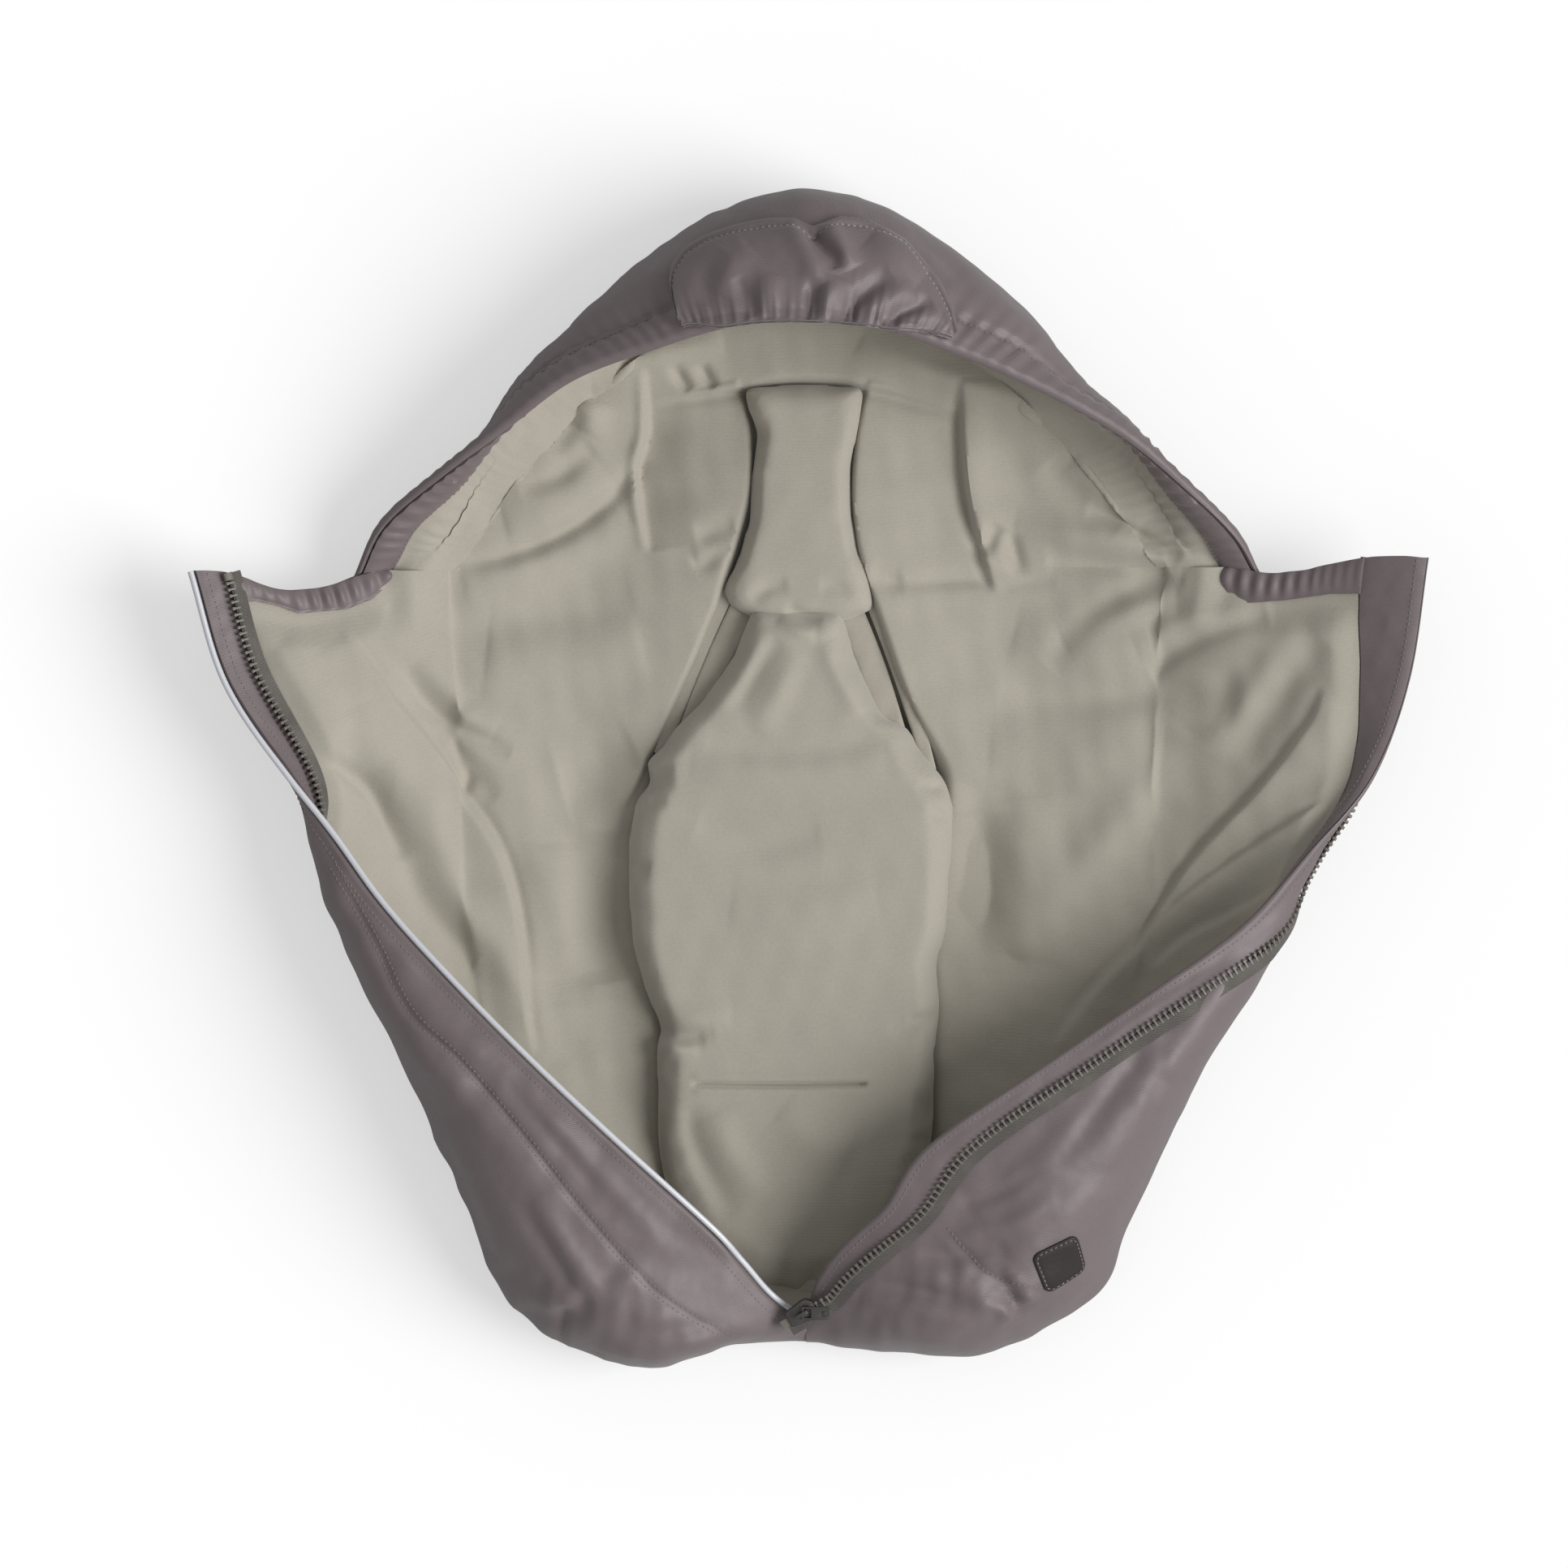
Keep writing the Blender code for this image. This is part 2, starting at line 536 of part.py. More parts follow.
def chain_body(path, start, end):
    """A moulded zip chain: a bead with a tooth every pitch, as one comb between two lengths of its path."""
    count = int((end - start) / ZIP_PITCH)
    bm = bmesh.new()
    front, back = [], []
    for k in range(count):
        middle = start + (k + 0.5) * ZIP_PITCH
        first, final = middle - TOOTH_WIDTH / 2, middle + TOOTH_WIDTH / 2
        if k == 0:
            front.append((start, 0.0))
        front += [(first, 0.0), (first, TOOTH_REACH), (final, TOOTH_REACH), (final, 0.0)]
        if k % BACK_STEP == 0:
            back.append((start + k * ZIP_PITCH, -BEAD_WIDTH))
    front.append((start + count * ZIP_PITCH, 0.0))
    back.append((start + count * ZIP_PITCH, -BEAD_WIDTH))
    sheets = []
    for height in (-CHAIN_THICKNESS / 2, CHAIN_THICKNESS / 2):
        rim_side = [bm.verts.new(path.point(a, side, height)) for a, side in front]
        seam_side = [bm.verts.new(path.point(a, side, height)) for a, side in back]
        sheets.append((rim_side, seam_side))
        teeth_a_group = 4 * BACK_STEP
        for g in range(len(seam_side) - 1):
            first = 0 if g == 0 else 1 + g * teeth_a_group
            final = min(1 + (g + 1) * teeth_a_group, len(rim_side) - 1)
            bm.faces.new([seam_side[g + 1], seam_side[g], *rim_side[first:final + 1]])
    (low_rim, low_seam), (high_rim, high_seam) = sheets
    for low, high in ((low_rim, high_rim), (low_seam, high_seam)):
        for i in range(len(low) - 1):
            bm.faces.new((low[i], low[i + 1], high[i + 1], high[i]))
    bm.faces.new((low_rim[0], low_seam[0], high_seam[0], high_rim[0]))
    bm.faces.new((low_rim[-1], low_seam[-1], high_seam[-1], high_rim[-1]))
    return bm


def block_on_path(path, a, length, side_low, side_high, low, high):
    """A small block that stands across a zip path, such as a stop."""
    corners = [[path.point(a + along, side, height) for height in (low, high)]
               for along in (0, length) for side in (side_low, side_high)]
    bm = bmesh.new()
    verts = [[bm.verts.new(p) for p in pair] for pair in corners]
    ring = [verts[0], verts[1], verts[3], verts[2]]
    for i in range(4):
        a_pair, b_pair = ring[i], ring[(i + 1) % 4]
        bm.faces.new((a_pair[0], b_pair[0], b_pair[1], a_pair[1]))
    bm.faces.new([pair[0] for pair in ring])
    bm.faces.new([pair[1] for pair in reversed(ring)])
    return bm


def tube(name, points, radius, look_name, look, home):
    """A round cord through points, as a curve with a bevel."""
    data = bpy.data.curves.new(name, "CURVE")
    data.dimensions = "3D"
    data.bevel_depth = radius
    data.bevel_resolution = 1
    data.use_fill_caps = True
    spline = data.splines.new("POLY")
    spline.points.add(len(points) - 1)
    for place, p in zip(spline.points, points):
        place.co = (*p, 1.0)
    data.materials.append(paint(look_name, look))
    made = bpy.data.objects.new(name, data)
    home.objects.link(made)
    return made


def rim_line(patch, rows, out, depth):
    """Points that follow the rim, this far beyond it and at this depth."""
    rim = [p + n * depth for p, n in (patch.read(row, 0.0) for row in rows)]
    inner = [p + n * depth for p, n in (patch.read(row, PIPING_RADIUS) for row in rows)]
    line = []
    for i, (place, within) in enumerate(zip(rim, inner)):
        along = rim[min(i + 1, len(rim) - 1)] - rim[max(i - 1, 0)]
        along = along / np.linalg.norm(along)
        away = place - within
        away = away - along * away.dot(along)
        line.append(place + away / np.linalg.norm(away) * out)
    return line


def back_outline(left, right, hood):
    """The floor edge all round: down the left, round the foot, up the right and back round the hood."""
    edge = [patch.points[i][0] for patch, rows in ((left[0], range(len(left[0].rows) - 1)),
                                                   (left[1], range(len(left[1].rows) - 1))) for i in rows]
    edge += [right[1].points[i][0] for i in range(len(right[1].rows) - 2, 0, -1)]
    edge += [right[0].points[i][0] for i in range(len(right[0].rows) - 1, -1, -1)]
    edge += [hood.points[i][0] for i in range(len(hood.rows) - 2, 0, -1)]
    return [(p[0], p[1]) for p in edge]


def build_back(patches, home, hidden):
    left_side, left_front, right_side, right_front, hood = patches
    outline = drawn_in(back_outline((left_side, left_front), (right_side, right_front), hood), GAP)
    shoulder = (SHOULDER_SLOT_WIDTH, SHOULDER_SLOT_LENGTH, SLOT_CUT_HEIGHT)
    crotch = (CROTCH_SLIT_LENGTH, CROTCH_SLIT_WIDTH, SLOT_CUT_HEIGHT)
    slots = [cutter(f"{name}_cut", box_body(size, (*laid(place), 0.0)), hidden)
             for name, size, place in (("left_shoulder", shoulder, LEFT_SLOT),
                                       ("right_shoulder", shoulder, RIGHT_SLOT),
                                       ("crotch", crotch, CROTCH_SLIT))]
    for name, low, high, look_name, look in (
            ("back_shell", 0.0, SHELL, "shell_fabric", SHELL_TAUPE),
            ("back_wadding", SHELL + GAP, SHELL + GAP + QUILT, "lining_fabric", LINING_SAGE)):
        piece = add_object(name, plan_body(outline, low, high), look_name, look, home)
        for slot in slots:
            boolean(piece, slot)


def build_pads(home):
    base = SHELL + GAP + QUILT + GAP
    for name, outline, crown, roll in (("seat_pad", SEAT_PAD, SEAT_CROWN, SEAT_ROLL),
                                       ("neck_pad", NECK_PAD, NECK_CROWN, NECK_ROLL),
                                       ("foot_pad", FOOT_PAD, FOOT_CROWN, FOOT_ROLL),
                                       ("head_pad", HEAD_PAD, HEAD_CROWN, HEAD_ROLL),
                                       ("left_back_pad", LEFT_BACK_PAD, BACK_CROWN, BACK_ROLL),
                                       ("right_back_pad", RIGHT_BACK_PAD, BACK_CROWN, BACK_ROLL)):
        add_object(name, pad_body(outline, base, crown, roll), "lining_fabric", LINING_SAGE, home)


def build_side(side, patch, home):
    """The part of the wall between the back and the fold line of a flap."""
    rows = patch.row_list(0, len(patch.rows) - 1)
    shell = patch.layer(rows, [0, 1, 2], 0.0, SHELL)
    add_object(f"{side}_side_shell", shell, "shell_fabric", SHELL_TAUPE, home)
    lining = patch.layer(rows, [0, 1, FOLD_GAP], SHELL + GAP, SHELL + GAP + QUILT)
    add_object(f"{side}_side_lining", lining, "lining_fabric", LINING_SAGE, home)


def build_panel(prefix, patch, seam, names, trims, home, floor_stop):
    """Shell, lining and edge facing of one front panel or flap.

    names gives the lining's first row and the facing's name; trims are those of the first and last row."""
    facing_name, lining_first, lining_trim = names
    last = len(patch.rows) - 1
    count = patch.points.shape[1]
    middle = count - 3
    rows = patch.row_list(0, last, *trims)
    shell_stops = [floor_stop, *range(1, count)]
    shell = patch.layer(rows, shell_stops, 0.0, SHELL)
    add_object(f"{prefix}_shell", shell, "shell_fabric", SHELL_TAUPE, home)
    lining_rows = patch.row_list(lining_first, last, lining_trim, trims[1])
    lining_stops = [floor_stop, *range(1, middle), plus(seam, SEAM_GAP)]
    lining = patch.layer(lining_rows, lining_stops, SHELL + GAP, SHELL + GAP + QUILT)
    add_object(f"{prefix}_lining", lining, "lining_fabric", LINING_SAGE, home)
    facing = patch.layer(rows, [seam, middle + 1, middle + 2], SHELL + GAP, SHELL + GAP + FACING)
    add_object(facing_name, facing, "shell_fabric", SHELL_TAUPE, home)
    if lining_first:
        edge_rows = patch.row_list(0, lining_first, trims[0], 0.0)
        edge = patch.layer(edge_rows, [floor_stop, *range(1, middle), plus(seam, GAP)],
                           SHELL + GAP, SHELL + GAP + FACING)
        add_object(f"{prefix}_top_facing", edge, "shell_fabric", SHELL_TAUPE, home)


def build_hood(patch, home):
    """Hood shell and lining, the gathered casing round its edge and the elastic that the casing holds."""
    last = len(patch.rows) - 1
    seam = patch.points.shape[1] - 3
    inner = SHELL + GAP
    rows = patch.row_list(0, last)
    shell = patch.layer(rows, list(range(seam + 3)), 0.0, SHELL)
    add_object("hood_shell", shell, "shell_fabric", SHELL_TAUPE, home)
    lining = patch.layer(rows, [*range(seam), CASING_WIDTH + SEAM_GAP], inner, inner + QUILT)
    add_object("hood_lining", lining, "lining_fabric", LINING_SAGE, home)
    casing_low = SHELL + ELASTIC_PLAY + ELASTIC + ELASTIC_PLAY
    casing = patch.layer(rows, [seam, seam + 1, seam + 2], casing_low, casing_low + FACING)
    add_object("hood_casing", casing, "shell_fabric", SHELL_TAUPE, home)
    half = ELASTIC_WIDTH / 2
    middle = CASING_WIDTH / 2
    elastic_rows = patch.row_list(0, last, ELASTIC_END, ELASTIC_END)
    elastic_low = SHELL + ELASTIC_PLAY
    elastic = patch.layer(elastic_rows, [middle + half, seam + 1, middle - half],
                          elastic_low, elastic_low + ELASTIC)
    add_object("hood_elastic", elastic, "elastic", ELASTIC_WHITE, home)


def build_visor(patch, home):
    """A soft peak that lies back on the hood: facing, stiffener and outer cloth, on one hinge line."""
    seam = patch.points.shape[1] - 3
    index = {s: i for i, s in enumerate(patch.rows)}
    step = patch.rows[1] - patch.rows[0]
    first, final = VISOR_FROM / step, VISOR_TO / step
    rows = [first, *range(int(first) + 1, int(final) + 1), final]
    reach = rule(VISOR_REACH)

    def within(column, less):
        return lambda s: min(patch.from_rim[index[s]][column], reach(s) - less)

    depth = -VISOR_LIFT
    for name, thickness, edge, look_name, look in (
            ("visor_facing", VISOR_CLOTH, 0.0, "shell_fabric", SHELL_TAUPE),
            ("visor_stiffener", STIFFENER, VISOR_SEAM, "stiffener", ELASTIC_WHITE),
            ("visor_shell", VISOR_CLOTH, 0.0, "shell_fabric", SHELL_TAUPE)):
        stops = [plus(reach, -edge), within(seam - 1, VISOR_STEP + edge), within(seam, 2 * VISOR_STEP + edge),
                 seam + 1, VISOR_SEAM + edge]
        piece_rows = [rows[0] + edge / VISOR_ROW_LENGTH, *rows[1:-1], rows[-1] - edge / VISOR_ROW_LENGTH]
        body = patch.layer(piece_rows, stops, depth - thickness, depth)
        add_object(name, body, look_name, look, home, origin=laid(VISOR_PIVOT))
        depth -= thickness + GAP


def build_zip(side, prefix, path, tape, has_top_stop, home):
    """Tape and chain of one stretch of the zip; the flap's stretch also has the top stop."""
    add_object(f"{prefix}_zip_tape", tape, "zip_tape", ZIP_GREY, home)
    start, end = (STOP_LENGTH + GAP, path.length - CUT_END) if has_top_stop else (CUT_END, path.length)
    chain = chain_body(path, start, end)
    add_object(f"{prefix}_zip_chain", chain, "zip_teeth", ZIP_GREY, home)
    if has_top_stop:
        half = CHAIN_THICKNESS / 2
        stop = block_on_path(path, 0.0, STOP_LENGTH, -BEAD_WIDTH, TOOTH_REACH, -half, half)
        add_object(f"{side}_zip_top_stop", stop, "zip_teeth", ZIP_GREY, home)


def zip_tape(patch, rows, path, inset, seam, depth):
    """The tape fills the wall between chain and seam.

    Its near edge allows for rows that cross the chain aslant and for the wall's bend at this depth."""
    slants = []
    for row, side in zip(rows, path.sides):
        (p, n), (q, m) = patch.read(row, inset), patch.read(row, plus(inset, TOOTH_REACH))
        across = p + n * depth - q - m * depth
        slants.append((patch.rows[int(round(row))], TOOTH_REACH / abs(across.dot(side))))
    slant = rule(slants)
    stops = [plus(seam, -GAP), lambda s: inset(s) + (BEAD_WIDTH + TAPE_PLAY) * slant(s)]
    return patch.layer(rows, stops, depth - TAPE / 2, depth + TAPE / 2)


def build_zips(sides, home):
    """The left half lies on the storm flap's inner face, the right half on the outside of its panel."""
    inner = SHELL + GAP + FACING + CHAIN_PLAY + CHAIN_THICKNESS / 2
    outer = -CHAIN_PLAY - CHAIN_THICKNESS / 2
    half = FOLD_GAP / 2
    paths = {}
    for side, depth, last_row, end in (("left", inner, FRONT_ROWS - 2, None),
                                       ("right", outer, FRONT_ROWS - 1 - STRAIGHT_BEFORE_END, laid(ZIP_END))):
        flap, _, front, inset, seam = sides[side]
        flap_rows = flap.row_list(0, len(flap.rows) - 1, 0.0, half)
        front_rows = front.row_list(0, last_row, half)
        flap_path = ZipPath(flap, flap_rows, inset, depth)
        flap_tape = zip_tape(flap, flap_rows, flap_path, inset, seam, depth)
        build_zip(side, f"{side}_flap", flap_path, flap_tape, True, home)
        path = ZipPath(front, front_rows, inset, depth, end)
        tape = zip_tape(front, front_rows, path, inset, seam, depth)
        build_zip(side, side, path, tape, False, home)
        paths[side] = path
    return paths


def frame_at(place, along, up):
    """A matrix whose X runs along and whose Z points as near to up as it can."""
    u = Vector(along).normalized()
    v = Vector(up).cross(u).normalized()
    w = u.cross(v)
    made = Matrix((u, v, w)).transposed().to_4x4()
    made.translation = Vector(place)
    return made


def joined(name, bodies, frame, look_name, look, home, hidden, origin, holes=()):
    """One solid from overlapping bodies and the holes cut from it, all given in a local frame."""
    first, *others = bodies
    piece = None
    for number, bm in enumerate([first, *others, *holes]):
        bmesh.ops.transform(bm, matrix=frame, verts=bm.verts)
        if piece is None:
            piece = add_object(name, bm, look_name, look, home, origin)
        else:
            part = cutter(f"{name}_cut_{number}", bm, hidden)
            boolean(piece, part, "UNION" if number <= len(others) else "DIFFERENCE")
    return piece


def span_box(u, v, w):
    """A box from its lowest and highest values along each axis."""
    spans = np.array((u, v, w))
    return box_body(spans[:, 1] - spans[:, 0], spans.mean(axis=1))


def build_slider(path, home, hidden):
    """The slider clasps the right chain's straight end; its pull hangs on the crown."""
    straight = path.places[-1] - path.places[-2]
    along = -straight / np.linalg.norm(straight)
    outwards = -path.normals[-1]
    teeth = int((path.length - CUT_END) / ZIP_PITCH)
    end = path.point(CUT_END + teeth * ZIP_PITCH, 0.0, 0.0)
    middle = end + along * (STOP_REST + SLIDER_LENGTH / 2)
    frame = frame_at(middle, along, outwards)
    half = SLIDER_LENGTH / 2
    low = CHAIN_THICKNESS / 2 + SLIDER_PLAY
    high = low + SLIDER_WALL
    near, far = SLIDER_SIDES
    tail, shoulder, nose = SLIDER_TAIL_IN, SLIDER_SHOULDER, SLIDER_NOSE
    outline = [(-half, near + tail), (nose, near), (half - shoulder, near), (half, near + shoulder),
               (half, far - shoulder), (half - shoulder, far), (nose, far), (-half, far - tail)]
    overlap = GAP / 2
    bodies = [plan_body(outline, -high, -low), plan_body(outline, low, high)]
    post = TOOTH_REACH + SLIDER_PLAY
    bodies.append(plan_body([(half - POST_LENGTH, post + POST_WIDTH / 2), (half - shoulder, post),
                             (half - overlap, post + POST_WIDTH / 2), (half - shoulder, post + POST_WIDTH)],
                            -low - overlap, low + overlap))
    for edge, inner in ((near + tail, near + tail + SLIDER_LIP), (far - tail - SLIDER_LIP, far - tail)):
        for first, final in ((-low - overlap, -low + SLIDER_LIP), (low - SLIDER_LIP, low + overlap)):
            bodies.append(span_box((-half + overlap, nose), (edge, inner), (first, final)))
    centre = (near + far) / 2
    crown = CROWN_SPAN / 2
    top = high + CROWN_OPENING
    width = (centre - CROWN_WIDTH / 2, centre + CROWN_WIDTH / 2)
    for side in (-crown, crown - CROWN_BAR):
        bodies.append(span_box((side, side + CROWN_BAR), width, (high - overlap, top + overlap)))
    bodies.append(span_box((-crown, crown), width, (top, top + CROWN_BAR)))
    joined("zip_slider", bodies, frame, "slider_metal", SLIDER_GREY, home, hidden, middle)

    thick = CHAIN_THICKNESS / 2
    stop = span_box((-STOP_LENGTH, 0), (-BEAD_WIDTH, TOOTH_REACH), (-thick, thick))
    bmesh.ops.transform(stop, matrix=frame_at(end - along * GAP, along, outwards), verts=stop.verts)
    add_object("zip_bottom_stop", stop, "zip_teeth", ZIP_GREY, home)

    pivot = Vector((PULL_BAR / 2, centre, high + GAP + PULL_THICKNESS / 2))
    turn = Matrix.Rotation(math.radians(-PULL_SKEW), 4, "Z")
    pull_frame = frame @ Matrix.Translation(pivot) @ turn
    side, bar = PULL_WIDTH / 2, PULL_BAR / 2
    outer = PULL_LENGTH - bar
    corner = side - PULL_HOLE_RADIUS
    outline = [(-bar, -side), (outer - corner, -side), (outer, -side + corner), (outer, side - corner),
               (outer - corner, side), (-bar, side)]
    thick = PULL_THICKNESS / 2
    window_length, window_width = PULL_WINDOW
    window_side = window_width / 2
    window = span_box((bar, bar + window_length), (-window_side, window_side), (-PULL_LENGTH, PULL_LENGTH))
    hole = bmesh.new()
    bmesh.ops.create_cone(hole, cap_ends=True, segments=16, radius1=PULL_HOLE_RADIUS,
                          radius2=PULL_HOLE_RADIUS, depth=PULL_LENGTH)
    bmesh.ops.translate(hole, verts=hole.verts, vec=(outer - 2 * PULL_HOLE_RADIUS, 0, 0))
    place = pull_frame.translation
    joined("zip_pull", [plan_body(outline, -thick, thick)], pull_frame, "slider_metal", SLIDER_GREY, home,
           hidden, place, holes=(window, hole))
    print("slider", [round(x, 5) for x in middle], "slides", [round(x, 5) for x in along])
    print("pull", [round(x, 5) for x in place], "turns about", [round(x, 5) for x in pull_frame.col[1][:3]])


def build_patch(panel, home):
    """A bare leather badge that lies on the panel's outer facets."""
    panel.data.calc_loop_triangles()
    tree = BVHTree.FromPolygons([v.co for v in panel.data.vertices],
                                [tri.vertices for tri in panel.data.loop_triangles])
    place, normal, _, _ = tree.ray_cast(Vector((*laid(PATCH_CENTRE), ABOVE)), Vector((0, 0, -1)))
    frame = frame_at(place, (1, math.tan(math.radians(PATCH_TURN)), 0), normal)
    half, corner = PATCH_SIDE / 2, PATCH_CORNER
    straight = half - corner
    edge = []
    for turn in range(4):
        side = [(half, y) for y in np.linspace(-straight, straight, PATCH_STEPS)]
        side.append((straight + corner * math.cos(math.pi / 4), straight + corner * math.sin(math.pi / 4)))
        rotation = Matrix.Rotation(turn * math.pi / 2, 2)
        edge += [tuple(rotation @ Vector(point)) for point in side]
    rings = [[(px * share, py * share) for px, py in edge] for share in PATCH_RINGS]
    bm = bmesh.new()
    sheets = []
    for lift in (PATCH_LIFT, PATCH_LIFT + PATCH_THICKNESS):
        sheet = []
        for ring in rings:
            row = []
            for px, py in ring:
                start = frame @ Vector((px, py, half))
                hit, _, _, _ = tree.ray_cast(start, -normal)
                row.append(bm.verts.new(hit + normal * lift))
            sheet.append(row)
        sheets.append(sheet)
    count = len(edge)
    for sheet in sheets:
        for outer, inner in zip(sheet, sheet[1:]):
            for i in range(count):
                j = (i + 1) % count
                bm.faces.new((outer[i], outer[j], inner[j], inner[i]))
        bm.faces.new(sheet[-1])
    for i in range(count):
        j = (i + 1) % count
        bm.faces.new((sheets[0][0][i], sheets[0][0][j], sheets[1][0][j], sheets[1][0][i]))
    add_object("leather_patch", bm, "patch_leather", PATCH_LEATHER, home)


def build_piping(sides, home):
    """Reflective cord along the left rim, in two lengths that part at the flap's foot."""
    flap, _, front, _, _ = sides["left"]
    out = PIPING_RADIUS + GAP
    depth = (SHELL + GAP + FACING) / 2
    half = FOLD_GAP / 2
    for name, patch, rows in (
            ("left_flap_piping", flap, flap.row_list(0, len(flap.rows) - 1, 0.0, half + CUT_END)),
            ("reflective_piping", front, front.row_list(0, len(front.rows) - 1, half + CUT_END, PIPING_END))):
        line = rim_line(patch, rows, out, depth)
        tube(name, line, PIPING_RADIUS, "reflective_piping", PIPING_SILVER, home)


def main():
    clear_scene()
    home = collection("car_seat_footmuff")
    hidden = collection("cutters", hidden=True)
    left_wall = Wall(LEFT, ((0, FLAP_STATIONS, 1), (FOOT_STATION, FOOT_STATION, 0)))
    right_wall = Wall(RIGHT, ((0, FLAP_STATIONS, 1), (FOOT_STATION, FOOT_STATION, 0)))
    hood_wall = Wall(HOOD, ((0, 0, 1), (HOOD_STATIONS, HOOD_STATIONS, 1)))
    front_rows = np.linspace(FLAP_STATIONS, FOOT_STATION, FRONT_ROWS)
    sides = {}
    for side, wall, inset in (("left", left_wall, rule(LEFT_INSETS)),
                              ("right", right_wall, rule(RIGHT_INSETS))):
        seam = plus(inset, TAPE_SHOW)
        facing_end = wall.station_at_y(wall.point(0, 1)[1] - TOP_FACING_WIDTH, 0, 1)
        rows = [0, facing_end, *np.linspace(1, FLAP_STATIONS, FLAP_ROWS)]
        flap = Patch(wall, rows, seamed(wall, 1.0, seam, 4, 2))
        lower = Patch(wall, rows, lambda s: [0.0, 0.5, 1.0])
        front = Patch(wall, front_rows, seamed(wall, 0.0, seam, 7, 2))
        sides[side] = (flap, lower, front, inset, seam)
        half = FOLD_GAP / 2
        facing = {"left": "storm_flap", "right": "wind_flap"}[side]
        fold_stop = lambda s, patch=flap: patch.from_rim[patch.rows.index(s)][0] - FOLD_GAP
        build_side(side, lower, home)
        flap_names = (f"{side}_flap_{facing}", 1, SEAM_GAP)
        build_panel(f"{side}_flap", flap, seam, flap_names, (0.0, half), home, fold_stop)
        build_panel(f"{side}_front", front, seam, (f"{side}_{facing}", 0, half), (half, 0.0), home, 0)
    hood_rows = np.linspace(0, HOOD_STATIONS, HOOD_ROWS)
    casing = lambda s: CASING_WIDTH
    hood = Patch(hood_wall, hood_rows, seamed(hood_wall, 0.0, casing, 5, 2))
    build_hood(hood, home)
    build_visor(hood, home)
    paths = build_zips(sides, home)
    build_slider(paths["right"], home, hidden)
    build_patch(bpy.data.objects["right_front_shell"], home)
    build_piping(sides, home)
    build_back((*sides["left"][1:3], *sides["right"][1:3], hood), home, hidden)
    build_pads(home)


main()
